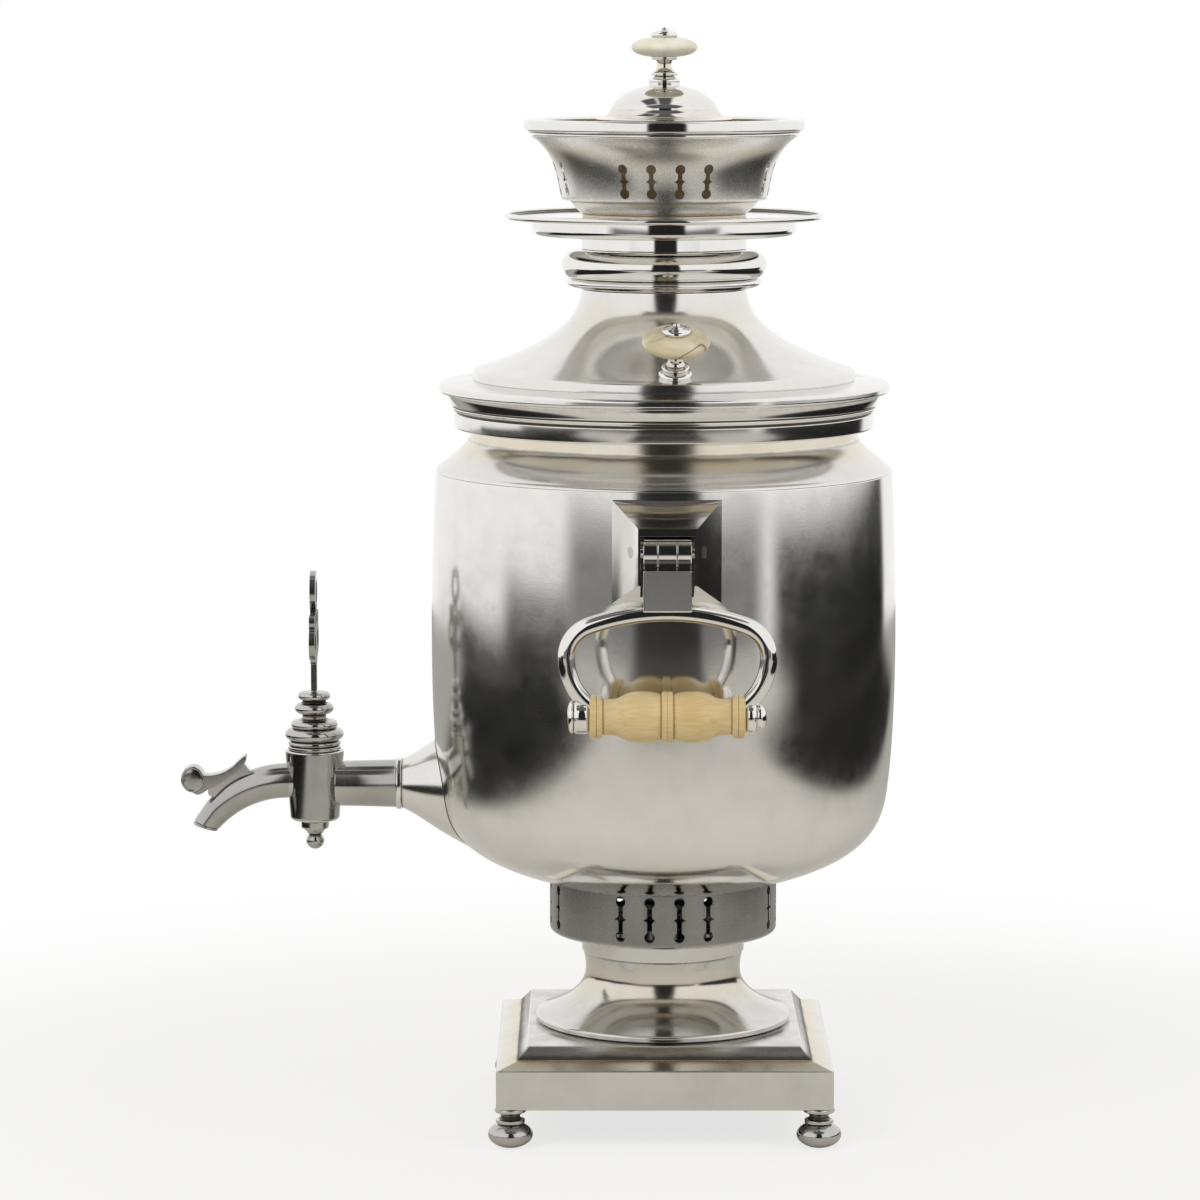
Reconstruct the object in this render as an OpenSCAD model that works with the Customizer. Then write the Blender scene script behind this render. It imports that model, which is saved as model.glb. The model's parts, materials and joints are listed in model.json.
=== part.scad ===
// Charcoal samovar: a spun vessel with a fire tube through it, a plug tap, two drop
// handles, a lifting lid, a pierced crown for the teapot and a cap on the fire tube.
// Millimetres. The origin is on the vertical axis at floor level and +Z is up.
// The tap points along -X. The handles stand at -Y (front) and +Y (rear).

/* [Sheet metal] */
// Thickness of the spun sheet of the vessel, lid and crown
sheet = 1.2; // [0.8:0.1:1.6]
// Thickness of the plinth and pedestal sheet
base_sheet = 1.5; // [1:0.1:2]
// Running clearance between a pin or plug and its bore, on the radius
fit_gap = 0.05; // [0.02:0.01:0.1]
// Slip clearance between a lifting part and what it slides on, on the radius
slip_gap = 0.4; // [0.3:0.1:0.8]

/* [Feet] */
// Height of a ball foot from floor to plinth
foot_h = 18; // [15:0.5:24]
// Diameter of the ball
foot_ball_d = 20.2; // [16:0.2:23]
// Height of the flattened ball
foot_ball_h = 11.5; // [9:0.5:12.5]
// Diameter of the neck over the ball
foot_neck_d = 8.8; // [6:0.2:11]
// Diameter of the disc under the plinth
foot_disc_d = 14.2; // [11:0.2:16]
// Diameter of the threaded stud
foot_stud_d = 5; // [3:0.5:6]
// Distance of the foot axis from the two sides of the plinth
foot_inset = 6.4; // [6.2:0.1:9]

/* [Plinth] */
// Width of the square plinth
plinth_w = 152; // [140:1:170]
// Height of its upright sides
plinth_side_h = 18; // [12:0.5:26]
// Width of the gently sloping ledge
plinth_ledge_w = 9.1; // [5:0.1:10]
// Rise of the ledge
plinth_ledge_h = 2.7; // [1:0.1:5]
// Width of the steep bevel inside the ledge
plinth_bevel_w = 4.9; // [2:0.1:6]
// Rise of the bevel
plinth_bevel_h = 5.8; // [3:0.1:9]
// Width of the lip turned in under the plinth
plinth_lip_w = 14; // [14:0.5:22]

/* [Pedestal] */
// Height of the pedestal
pedestal_h = 42; // [36:1:60]
// Diameter of its foot flange
pedestal_flange_d = 118.6; // [100:0.2:122]
// Height of the flange edge
pedestal_flange_h = 3.4; // [2:0.1:5]
// Diameter of the collar under the vent ring
pedestal_collar_d = 75; // [74:0.2:90]
// How far the throat draws in from the collar, on the radius
pedestal_throat_in = 1.7; // [1:0.1:5]
// Height of the collar
pedestal_collar_h = 9.5; // [5:0.5:12]

/* [Vent ring] */
// Diameter of the vent ring
vent_d = 104.8; // [100:0.2:116]
// Height of the vent ring
vent_h = 25; // [24:0.5:36]
// Radius of its rounded lower edge
vent_edge_r = 2.2; // [1:0.1:3]

/* [Slots] */
// Diameter of the round end of a slot
slot_hole_d = 4.5; // [3:0.1:5.5]
// Width of the slit between the round ends
slot_slit_w = 2; // [1:0.1:2.8]
// Width of the diamond at the middle of a slot
slot_diamond_w = 5.4; // [3:0.1:6.5]
// Distance between the round ends of a vent ring slot
vent_slot_l = 16; // [12:0.5:17]
// Distance between the round ends of a crown slot
crown_slot_l = 11; // [8:0.5:12]
// Angle from slot to slot in a group
slot_pitch = 15; // [12:0.5:18]
// Slots in each of the four groups
slot_count = 4; // [2:1:5]

/* [Body] */
// Widest diameter of the body
body_d = 213.4; // [200:0.2:230]
// Height of the bowl-shaped bottom
bowl_h = 39.5; // [34:0.5:50]
// Height of the wall over the bowl
wall_h = 150; // [120:1:200]
// How far the wall draws in at its foot, on the radius
wall_foot_in = 3.7; // [2:0.1:6]
// How far the wall draws in at its top, on the radius
wall_top_in = 2.2; // [1:0.1:5]
// Height of the bowl below the soldered seam
seam_h = 24; // [18:0.5:27]
// Height of the concave shoulder
shoulder_h = 15; // [10:0.5:20]
// How far the neck draws in from the top of the wall, on the radius
neck_in = 15.7; // [12:0.1:20]
// Height of the neck
neck_h = 20.5; // [18:0.5:30]

/* [Top ring] */
// Height of the cast ring round the neck
ring_h = 16.4; // [14:0.2:17]
// How far its lower band stands out from the neck
ring_band_w = 7; // [5:0.1:9]
// How far its flared upper edge stands out over the band
ring_flare_w = 4.2; // [3:0.1:6]

/* [Fire tube] */
// Outer diameter of the firebox at the bottom
fire_base_d = 90; // [70:1:94]
// Outer diameter of the chimney at the top
fire_top_d = 64; // [56:0.5:65]
// Thickness of the tube wall
fire_wall = 1.5; // [1:0.1:2.5]
// Height of the straight firebox
fire_box_h = 95; // [60:1:130]
// Height of the cone between firebox and chimney
fire_cone_h = 70; // [40:1:90]
// Length of tube that stands out under the bowl
fire_stub_h = 3.5; // [2:0.5:6]
// Thickness of the grate
grate_t = 3; // [2:0.5:5]
// Diameter of a hole in the grate
grate_hole_d = 7; // [4:0.5:8]

/* [Lid] */
// How far the lid rim stands out over the ring under it
lid_rim_over = 3; // [1:0.1:6]
// Height of the rim
lid_rim_h = 4; // [3:0.1:6]
// Depth of the skirt inside the neck
lid_skirt_h = 8; // [5:0.5:12]
// Width of the ledge between the rim and the raised ring
lid_ledge_w = 15.5; // [12:0.1:20]
// Height of the raised ring
lid_ring_h = 6.6; // [4:0.1:9]
// Height of the cone from ring to neck
lid_cone_h = 36; // [30:0.5:50]
// Gap between the chimney and the sleeve of the crown, on the radius
chimney_gap = 2.8; // [2:0.1:6]
// How far the large bead stands out from the lid neck
lid_bead_w = 9.2; // [6:0.1:12]
// Height of the beaded collar
lid_collar_h = 18.3; // [15:0.1:24]

/* [Lid knobs] */
// Distance of a lid knob from the edge of the raised ring
lid_knob_in = 8.5; // [8:0.5:24]
// Angle by which the pair of knobs is turned round the axis
lid_knob_turn = 2.8; // [-10:0.2:10]

/* [Knobs] */
// Height of the stem of a knob under its disc
knob_stem_h = 12.2; // [10:0.2:18]
// Diameter of the bulb at the foot of the stem
knob_bulb_d = 14.8; // [12:0.2:17]
// Diameter of the stem collar under the disc
knob_collar_d = 12; // [9:0.2:14]
// Diameter of the stem at its waist
knob_waist_d = 6.8; // [5:0.2:8]
// Diameter of the bone disc
knob_disc_d = 30; // [24:0.2:36]
// Thickness of the bone disc
knob_disc_t = 8.8; // [7:0.2:12]
// Diameter of the domed nut over the disc
knob_nut_d = 12.6; // [9:0.2:15]
// Height of the domed nut
knob_nut_h = 4.6; // [4:0.2:8]
// Diameter of the threaded stud
knob_stud_d = 3; // [2:0.5:4]

/* [Crown] */
// Depth of the sleeve inside the lid neck
crown_spigot_h = 10; // [6:0.5:14]
// Height of the sleeve collar between lid and skirt
crown_collar_h = 6.3; // [4:0.1:12]
// How far the sleeve collar stands out from the sleeve
crown_collar_w = 1.7; // [1.6:0.1:6]
// Diameter of the skirt
crown_skirt_d = 120.4; // [110:0.2:130]
// Height of the skirt
crown_skirt_h = 7.3; // [6:0.1:12]
// Diameter of the plate over its beaded rim
crown_plate_d = 145.6; // [136:0.2:160]
// Diameter of the bead round the plate
crown_bead_d = 2.7; // [2:0.1:4]
// Height of the cove under the gallery
gallery_cove_h = 8.2; // [6:0.1:12]
// How far the gallery wall stands out from the sleeve at its foot
gallery_w = 10.9; // [8:0.1:14]
// Height of the flaring gallery wall
gallery_h = 28.4; // [26:0.1:36]
// Diameter of the flat rim that takes the teapot
gallery_rim_d = 128; // [122:0.2:140]
// Height of the rim
gallery_rim_h = 7.3; // [5:0.1:10]
// Width of the flat on the rim
gallery_flat_w = 7; // [5:0.5:9]

/* [Cap] */
// How far the cap flange stays back from the outside of the chimney
cap_flange_in = 1; // [0.5:0.1:1]
// Width of the ledge between the flange edge and the dome
cap_ledge_w = 5.7; // [4:0.1:9]
// Height of the dome over the flange
cap_dome_h = 15.6; // [12:0.2:22]
// Depth of the spigot in the chimney
cap_spigot_h = 9; // [5:0.5:14]

/* [Handles] */
// Depth of the hinge pin under the shoulder
hinge_down = 25; // [25:1:40]
// Diameter of the hinge pin
hinge_pin_d = 5; // [3:0.5:6]
// How far the boss stands out from the body
boss_depth = 21.3; // [20:0.1:26]
// Width of the boss at the body
boss_w = 48; // [44:0.5:56]
// Width of the boss at its front
boss_front_w = 25.6; // [25:0.1:32]
// Height of the boss over the hinge
boss_up = 21; // [19:0.5:24]
// Depth of the boss under the hinge
boss_down = 24.5; // [20:0.5:28]
// Thickness of the cheeks beside the slot of the boss, at its front
boss_cheek_w = 1.1; // [0.8:0.1:4]
// Gap between a cheek and the arm in the slot
arm_gap = 1.2; // [0.4:0.1:2]
// Radius of the knuckle round the pin
knuckle_r = 7; // [5:0.1:7]
// How far the loop hangs in front of the hinge pin
loop_out = 6.5; // [5:0.1:8]
// How far the loop stands out past the end of the grip, at the middle of its bar
loop_past = 9.5; // [8:0.1:12]
// Rise of the loop over its widest place
loop_b = 19; // [17:0.1:24]
// Radius of the upper corners of the loop
loop_corner_r = 14; // [10:0.5:16]
// Radius of the legs of the loop
loop_leg_r = 26; // [22:0.5:30]
// Drop from the hinge to the widest place of the loop
loop_drop = 45.2; // [44:0.1:50]
// Diameter of the bar of the loop
loop_bar_d = 8.8; // [6:0.1:9]
// Drop from the widest place of the loop to the axis of the grip
grip_down = 26; // [24:0.1:29]
// Length of the wooden grip
grip_l = 67.4; // [60:0.2:72]
// Diameter of the grip at its bellies
grip_d = 22; // [18:0.2:24]
// Diameter of the collars at the ends of the grip
grip_collar_d = 18.9; // [15:0.1:19]
// Diameter of the rod through the grip
rod_d = 5; // [3:0.5:6]
// Diameter of the loop eye at the head of the rod
eye_d = 14.6; // [12:0.2:16]
// Length of that eye
eye_l = 6.9; // [5:0.1:8]
// Diameter of the loop eye at the nut of the rod
nut_eye_d = 14.2; // [12:0.2:15]
// Length of that eye
nut_eye_l = 4.8; // [4:0.1:7]

/* [Tap] */
// Height of the axis of the tap pipe over the foot of the wall
tap_up = 3.6; // [2:0.1:16]
// Distance of the plug axis from the body at its widest
tap_out = 54.3; // [46:0.1:66]
// Diameter of the plug barrel at its top
barrel_d = 26.8; // [24:0.2:30]
// How much the barrel narrows to its foot, on the radius
barrel_in = 2.1; // [1:0.1:3]
// Height of the barrel over the pipe axis
barrel_up = 15.8; // [13:0.2:20]
// Depth of the barrel under the pipe axis
barrel_down = 16.9; // [14:0.2:20]
// Diameter of the pipe
pipe_d = 21.4; // [19:0.2:22]
// Diameter of the waterway through the tap
waterway_d = 8; // [6:0.5:8.5]
// Diameter of the tail that passes the body wall
tail_d = 15.6; // [14:0.2:17]
// Length of the flange from its joint to the widest body radius
flange_l = 16.5; // [14:0.1:22]
// Radius of the flange where it meets the bowl
flange_r = 29.3; // [26:0.1:32]
// Diameter of the plug at its top
plug_d = 17; // [15:0.2:18]
// How much the plug narrows to its foot, on the radius
plug_in = 3.4; // [3:0.1:3.8]
// Height of the turned head of the plug over the barrel
plug_head_h = 27.6; // [24:0.2:36]
// Diameter of the largest ring of that head
plug_head_d = 26.8; // [22:0.2:28]
// How far the spout axis lies over the pipe axis
spout_rise = 1.3; // [0:0.1:2]
// Bend radius of the spout
spout_bend = 45; // [38:1:52]
// Angle through which the spout bends down
spout_turn = 56.9; // [50:0.1:62]
// Radius of the spout at the barrel
spout_r0 = 8; // [7:0.1:9]
// Radius of the spout at its mouth
spout_r1 = 5.7; // [5.2:0.1:7]
// Angle by which the plane of the mouth rises outwards
mouth_tilt = 18; // [0:1:30]
// Height of the thin lip round the mouth
lip_h = 1.6; // [1:0.1:3]
// Width of the scroll on the spout
scroll_w = 8; // [6:0.2:10]
// Radius of the volute at the end of the scroll
volute_r = 5.4; // [4:0.1:7]
// Height of the key over the plug head
key_h = 55.5; // [46:0.5:66]
// Thickness of the key plate
key_t = 2.6; // [2:0.1:4]
// Half width of the scrolls of the key
key_half_w = 17; // [13:0.5:22]
// Diameter of the threaded pin under the plug
pin_d = 5; // [4:0.5:6]
// Thickness of the washer under the barrel
washer_t = 4.2; // [2:0.1:5]
// Diameter of that washer
washer_d = 12.8; // [11:0.1:15]
// Height of the ball nut under the washer
tap_nut_h = 9.6; // [8:0.1:12]
// Diameter of its ball
tap_ball_d = 8.2; // [7:0.1:10]

/* [Hidden] */
$fn = 96;

silver = [0.74, 0.72, 0.68];
dark_silver = [0.45, 0.43, 0.40];
bone = [0.90, 0.86, 0.72];
boxwood = [0.85, 0.71, 0.45];
iron = [0.22, 0.21, 0.20];

// Levels, from the floor up
plinth_z = foot_h;
ledge_z = plinth_z + plinth_side_h;
bevel_z = ledge_z + plinth_ledge_h;
pedestal_z = bevel_z + plinth_bevel_h;
vent_z = pedestal_z + pedestal_h;
bowl_z = vent_z + vent_h;
wall_z = bowl_z + bowl_h;
shoulder_z = wall_z + wall_h;
neck_z = shoulder_z + shoulder_h;
mouth_z = neck_z + neck_h;
ring_z = mouth_z - ring_h;
lid_top_z = mouth_z + lid_rim_h;
cone_z = lid_top_z + lid_ring_h;
collar_z = cone_z + lid_cone_h;
crown_z = collar_z + lid_collar_h;
skirt_z = crown_z + crown_collar_h;
plate_z = skirt_z + crown_skirt_h;
cove_z = plate_z + sheet;
gallery_z = cove_z + gallery_cove_h;
rim_z = gallery_z + gallery_h;
seat_z = rim_z + gallery_rim_h;
chimney_z = seat_z - 1;
cap_top_z = chimney_z + sheet + cap_dome_h;

// Radii that several pieces share
body_r = body_d / 2;
wall_foot_r = body_r - wall_foot_in;
wall_top_r = body_r - wall_top_in;
neck_r = wall_top_r - neck_in;
ring_band_r = neck_r + ring_band_w;
ring_top_r = ring_band_r + ring_flare_w;
vent_r = vent_d / 2;
fire_base_r = fire_base_d / 2;
fire_top_r = fire_top_d / 2;
skirt_in_r = neck_r - sheet - slip_gap;
spigot_r = fire_top_r + chimney_gap + sheet;
lid_bore_r = spigot_r + slip_gap;
chimney_bore_r = fire_top_r - fire_wall;
foot_at = plinth_w / 2 - foot_inset;

// ---- Curves ----------------------------------------------------------------

// Points of a cubic curve from a to d, drawn towards b and c on the way
function curve(a, b, c, d, n = 12) = [
    for (i = [0:n]) let (t = i / n, s = 1 - t)
        s * s * s * a + 3 * s * s * t * b + 3 * s * t * t * c + t * t * t * d
];

// Points of an elliptical arc round [x, y], from angle t0 to t1
function arc(x, y, a, b, t0, t1, n = 10) = [
    for (i = [0:n]) let (t = t0 + (t1 - t0) * i / n) [x + a * cos(t), y + b * sin(t)]
];

function unit(v) = v / norm(v);
function left_of(v) = [-v[1], v[0]];
function reversed(p) = [for (i = [len(p) - 1:-1:0]) p[i]];

// The outline without points that lie on the one before them
function spaced(p) = [for (i = [0:len(p) - 1]) if (i == 0 || norm(p[i] - p[i - 1]) > 0.02) p[i]];

// An outline moved to its left by t, with mitred corners
function moved_left(p, t) = [
    for (i = [0:len(p) - 1])
        let (
            j = max(i, 1), k = min(i + 1, len(p) - 1),
            n0 = left_of(unit(p[j] - p[j - 1])), n1 = left_of(unit(p[k] - p[k - 1]))
        )
        p[i] + t * (n0 + n1) / (1 + n0 * n1)
];

// A sheet of thickness t spun to the outline p of its outer face, drawn upwards
module spun_sheet(p, t) {
    outer = spaced(p);
    rotate_extrude() polygon(concat(outer, reversed(moved_left(outer, t))));
}

// A solid turned to the outline p, closed along the axis
module turned(p) rotate_extrude() polygon(spaced(concat([[0, p[0][1]]], p, [[0, p[len(p) - 1][1]]])));

// What lies between two levels
module between(z0, z1) intersection() {
    children();
    translate([0, 0, z0]) cylinder(r = body_d, h = z1 - z0);
}

module ring_of(r_in, r_out, h) difference() {
    cylinder(r = r_out, h = h);
    translate([0, 0, -1]) cylinder(r = r_in, h = h + 2);
}

// A hexagonal nut with a bore, standing on z = 0
module hex_nut(across, bore, h) difference() {
    cylinder(d = across / cos(30), h = h, $fn = 6);
    translate([0, 0, -1]) cylinder(d = bore, h = h + 2);
}

// ---- Plinth and feet -------------------------------------------------------

pad_angle = 76;
small_nut_h = 3.2;

module foot_turning() turned(concat(
    arc(0, foot_ball_h / 2, foot_ball_d / 2, foot_ball_h / 2 / sin(pad_angle), -pad_angle, 62, 16),
    [[foot_neck_d / 2 + 2.1, foot_ball_h - 0.2], [foot_neck_d / 2 + 2.1, foot_ball_h + 1.2]],
    curve([foot_neck_d / 2 + 0.6, foot_ball_h + 1.5], [foot_neck_d / 2 - 0.6, foot_ball_h + 2.4],
        [foot_neck_d / 2, foot_h - 3], [foot_neck_d / 2 + 1, foot_h - 2], 6),
    [[foot_disc_d / 2 - 0.5, foot_h - 2], [foot_disc_d / 2, foot_h - 1.5], [foot_disc_d / 2, foot_h - 0.4],
        [foot_disc_d / 2 - 0.4, foot_h], [foot_stud_d / 2, foot_h], [foot_stud_d / 2, foot_h + 6.5]]
));

module foot(x, y) color(dark_silver) translate([x * foot_at, y * foot_at, 0]) foot_turning();

module foot_nuts() color(dark_silver)
    for (x = [-1, 1], y = [-1, 1])
        translate([x * foot_at, y * foot_at, plinth_z + base_sheet])
            hex_nut(1.5 * foot_stud_d, foot_stud_d, small_nut_h);

// Half outline of the plinth, from its bottom edge to the middle of its top
plinth_side = [
    [plinth_w / 2, plinth_z], [plinth_w / 2, ledge_z],
    [plinth_w / 2 - plinth_ledge_w, bevel_z],
    [plinth_w / 2 - plinth_ledge_w - plinth_bevel_w, pedestal_z],
    [0, pedestal_z],
];

// The square frustum whose two pairs of sides both follow the half outline p
module square_form(p) {
    whole = concat(p, [for (q = reversed(p)) if (q[0] > 0) [-q[0], q[1]]]);
    intersection() {
        rotate([90, 0, 0]) linear_extrude(plinth_w + 2, center = true) polygon(whole);
        rotate([90, 0, 90]) linear_extrude(plinth_w + 2, center = true) polygon(whole);
    }
}

module plinth() color(silver) difference() {
    square_form(plinth_side);
    intersection() {
        square_form(moved_left(plinth_side, base_sheet));
        translate([0, 0, plinth_z + base_sheet + plinth_side_h])
            cube([plinth_w, plinth_w, 2 * plinth_side_h], center = true);
    }
    translate([0, 0, plinth_z + base_sheet / 2])
        cube([plinth_w - 2 * plinth_lip_w, plinth_w - 2 * plinth_lip_w, base_sheet + 2], center = true);
    for (x = [-1, 1], y = [-1, 1])
        translate([x * foot_at, y * foot_at, plinth_z - 1])
            cylinder(d = foot_stud_d, h = base_sheet + 2);
}

// ---- Pedestal and vent ring ------------------------------------------------

pedestal_flange_r = pedestal_flange_d / 2;
pedestal_collar_r = pedestal_collar_d / 2;
pedestal_throat_r = pedestal_collar_r - pedestal_throat_in;

module pedestal() color(silver) spun_sheet(concat(
    [[pedestal_flange_r - 1.6, pedestal_z], [pedestal_flange_r - 0.4, pedestal_z + 0.8],
        [pedestal_flange_r, pedestal_z + pedestal_flange_h - 0.8],
        [pedestal_flange_r - 0.7, pedestal_z + pedestal_flange_h]],
    curve([pedestal_flange_r - 2.4, pedestal_z + pedestal_flange_h + 0.6],
        [pedestal_throat_r + 0.38 * (pedestal_flange_r - pedestal_throat_r), pedestal_z + 0.2 * pedestal_h],
        [pedestal_throat_r, pedestal_z + 0.36 * pedestal_h],
        [pedestal_throat_r, pedestal_z + 0.56 * pedestal_h], 16),
    curve([pedestal_throat_r, pedestal_z + 0.6 * pedestal_h],
        [pedestal_throat_r, pedestal_z + 0.67 * pedestal_h],
        [pedestal_collar_r - 1.1, vent_z - pedestal_collar_h - 2.5],
        [pedestal_collar_r - 0.5, vent_z - pedestal_collar_h], 6),
    [[pedestal_collar_r, vent_z - pedestal_collar_h + 0.5], [pedestal_collar_r, vent_z]]
), base_sheet);

// One slot through a wall that faces +Y: two round ends, a slit and a diamond
module slot(l, wall_y) translate([0, wall_y, 0]) rotate([90, 0, 0]) {
    for (z = [-l / 2, l / 2]) translate([0, z, 0])
        cylinder(d = slot_hole_d, h = wall_y / 2, center = true, $fn = 24);
    cube([slot_slit_w, l, wall_y / 2], center = true);
    linear_extrude(wall_y / 2, center = true)
        polygon([[slot_diamond_w / 2, 0], [0, slot_diamond_w / 3], [-slot_diamond_w / 2, 0],
            [0, -slot_diamond_w / 3]]);
}

// Four groups of slots round the axis
module slots(l, wall_y, z)
    for (side = [0:3], i = [0:slot_count - 1])
        rotate([0, 0, 90 * side + (i - (slot_count - 1) / 2) * slot_pitch])
            translate([0, 0, z]) slot(l, wall_y);

module vent_ring() color(silver) difference() {
    spun_sheet(concat(
        [[pedestal_collar_r - base_sheet, vent_z], [vent_r - vent_edge_r, vent_z]],
        arc(vent_r - vent_edge_r, vent_z + vent_edge_r, vent_edge_r, vent_edge_r, -90, 0, 5),
        [[vent_r, bowl_z]]
    ), base_sheet);
    slots(vent_slot_l, vent_r, vent_z + 0.54 * vent_h);
}

// ---- Vessel ----------------------------------------------------------------

bowl_w = wall_foot_r - vent_r;
bowl_curve = curve([vent_r, bowl_z], [vent_r + 0.75 * bowl_w, bowl_z + 0.24 * bowl_h],
    [wall_foot_r - 0.05 * bowl_w, bowl_z + 0.545 * bowl_h], [wall_foot_r, wall_z], 18);
wall_curve = curve([wall_foot_r, wall_z], [body_r + 1.2, wall_z + 0.226 * wall_h],
    [body_r + 0.6, wall_z + 0.66 * wall_h], [wall_top_r, shoulder_z - 0.8], 14);
shoulder_curve = concat(
    [[wall_top_r - 0.2, shoulder_z], [wall_top_r - 0.9, shoulder_z + 0.6]],
    curve([wall_top_r - 1.4, shoulder_z + 0.9], [neck_r + 0.64 * neck_in, shoulder_z + 0.32 * shoulder_h],
        [neck_r + 0.04 * neck_in, shoulder_z + 0.72 * shoulder_h], [neck_r, neck_z], 10),
    [[neck_r, mouth_z]]
);
body_curve = spaced(concat([[fire_base_r, bowl_z]], bowl_curve, wall_curve, shoulder_curve));

// The vessel wall with the tap inlet and the bolt holes of the handle bosses
module vessel_wall() difference() {
    spun_sheet(body_curve, sheet);
    translate([-1.05 * body_r, 0, tap_z]) rotate([0, 90, 0]) cylinder(d = tail_d, h = 0.3 * body_r);
    for (side = [0, 180]) rotate([0, 0, side]) boss_bolts_at() cylinder(d = boss_bolt_d, h = 3 * bolt_reach);
}

// The filled form of the vessel, and the space inside its sheet
module vessel_form() turned(body_curve);
module vessel_space() turned(moved_left(body_curve, sheet));

module body_bowl() color(silver) between(bowl_z - 1, bowl_z + seam_h) vessel_wall();
module body_wall() color(silver) between(bowl_z + seam_h, shoulder_z) vessel_wall();
module body_shoulder() color(silver) between(shoulder_z, mouth_z) vessel_wall();

module top_ring() color(silver) rotate_extrude() polygon([
    [neck_r, ring_z], [ring_band_r - 0.6, ring_z], [ring_band_r, ring_z + 0.6],
    [ring_band_r + 0.2, ring_z + 0.43 * ring_h], [ring_band_r - 0.6, ring_z + 0.46 * ring_h],
    [ring_band_r + 0.15 * ring_flare_w, ring_z + 0.5 * ring_h],
    [ring_band_r + 0.33 * ring_flare_w, ring_z + 0.585 * ring_h],
    [ring_band_r + 0.19 * ring_flare_w, ring_z + 0.61 * ring_h],
    [ring_band_r + 0.43 * ring_flare_w, ring_z + 0.64 * ring_h],
    [ring_top_r - 0.6, mouth_z - 1.2], [ring_top_r, mouth_z - 0.6], [ring_top_r, mouth_z],
    [neck_r, mouth_z],
]);

// ---- Fire tube -------------------------------------------------------------

tube_foot_z = bowl_z - fire_stub_h;
cone_foot_z = bowl_z + fire_box_h;

module fire_tube() color(dark_silver) {
    rotate_extrude() polygon([
        [fire_base_r, tube_foot_z], [fire_base_r, cone_foot_z],
        [fire_top_r, cone_foot_z + fire_cone_h], [fire_top_r, chimney_z],
        [chimney_bore_r, chimney_z], [chimney_bore_r, cone_foot_z + fire_cone_h],
        [fire_base_r - fire_wall, cone_foot_z], [fire_base_r - fire_wall, tube_foot_z + fire_wall],
        [fire_base_r - 3 - fire_wall, tube_foot_z + fire_wall], [fire_base_r - 3 - fire_wall, tube_foot_z],
    ]);
}

module grate() color(iron) translate([0, 0, tube_foot_z + fire_wall]) difference() {
    cylinder(r = fire_base_r - fire_wall - 0.3, h = grate_t);
    for (row = [0:3], i = [0:max(0, 6 * row - 1)])
        rotate([0, 0, row == 0 ? 0 : 60 / row * i])
            translate([row * (fire_base_r - fire_wall - 5) / 3.6, 0, -1])
                cylinder(d = grate_hole_d, h = grate_t + 2, $fn = 24);
}

// ---- Knobs -----------------------------------------------------------------

knob_stud_l = sheet + 4.8;
disc_z = knob_stem_h;
disc_top_z = disc_z + knob_disc_t;

// The stem stands on z = 0 and reaches a little deeper, to be fitted to what it stands on
module knob_stem() {
    r_bulb = knob_bulb_d / 2;
    r_waist = knob_waist_d / 2;
    r_collar = knob_collar_d / 2;
    rotate_extrude() polygon(spaced(concat(
        [[0, -3], [r_bulb - 0.4, -3]],
        arc(0, 0.11 * knob_stem_h, r_bulb, 0.21 * knob_stem_h, 0, 52, 6),
        [[r_collar, 0.34 * knob_stem_h], [r_collar + 0.1, 0.39 * knob_stem_h],
            [r_collar - 0.5, 0.44 * knob_stem_h]],
        curve([r_waist + 0.9, 0.47 * knob_stem_h], [r_waist - 0.3, 0.62 * knob_stem_h],
            [r_waist - 0.3, 0.8 * knob_stem_h], [r_waist + 0.5, 0.88 * knob_stem_h], 6),
        [[r_collar - 0.3, 0.9 * knob_stem_h], [r_collar, 0.94 * knob_stem_h], [r_collar, knob_stem_h],
            [knob_stud_d / 2, knob_stem_h], [knob_stud_d / 2, disc_top_z + 0.5 * knob_nut_h],
            [0, disc_top_z + 0.5 * knob_nut_h]]
    )));
}

// The threaded stud that goes down through the sheet
module knob_stud() translate([0, 0, -knob_stud_l]) cylinder(d = knob_stud_d, h = knob_stud_l + 1);

module knob_disc() difference() {
    turned(concat(
        [[knob_collar_d / 2, disc_z]],
        curve([knob_collar_d / 2 + 0.5, disc_z + 0.1], [knob_disc_d / 2 - 3, disc_z + 0.8],
            [knob_disc_d / 2, disc_z + 0.25 * knob_disc_t], [knob_disc_d / 2, disc_z + 0.5 * knob_disc_t], 8),
        curve([knob_disc_d / 2, disc_z + 0.5 * knob_disc_t],
            [knob_disc_d / 2, disc_z + 0.78 * knob_disc_t],
            [knob_disc_d / 2 - 4, disc_top_z - 0.4], [knob_nut_d / 2, disc_top_z], 8)
    ));
    cylinder(d = knob_stud_d, h = 2 * disc_top_z);
}

module knob_cap() difference() {
    turned(concat(
        [[knob_nut_d / 2 - 0.5, disc_top_z]],
        arc(0, disc_top_z + 0.22 * knob_nut_h, knob_nut_d / 2, 0.5 * knob_nut_h, -14, 55, 6),
        [[0.26 * knob_nut_d, disc_top_z + 0.66 * knob_nut_h],
            [0.14 * knob_nut_d, disc_top_z + 0.76 * knob_nut_h],
            [0.11 * knob_nut_d, disc_top_z + 0.96 * knob_nut_h], [0.05 * knob_nut_d, disc_top_z + knob_nut_h]]
    ));
    translate([0, 0, disc_top_z - 1]) cylinder(d = knob_stud_d, h = 1 + 0.5 * knob_nut_h);
}

// ---- Lid -------------------------------------------------------------------

lid_rim_r = ring_top_r + lid_rim_over;
lid_ring_r = lid_rim_r - lid_ledge_w;
lid_neck_r = lid_bore_r + sheet;
lid_knob_r = lid_ring_r - lid_knob_in;

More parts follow.
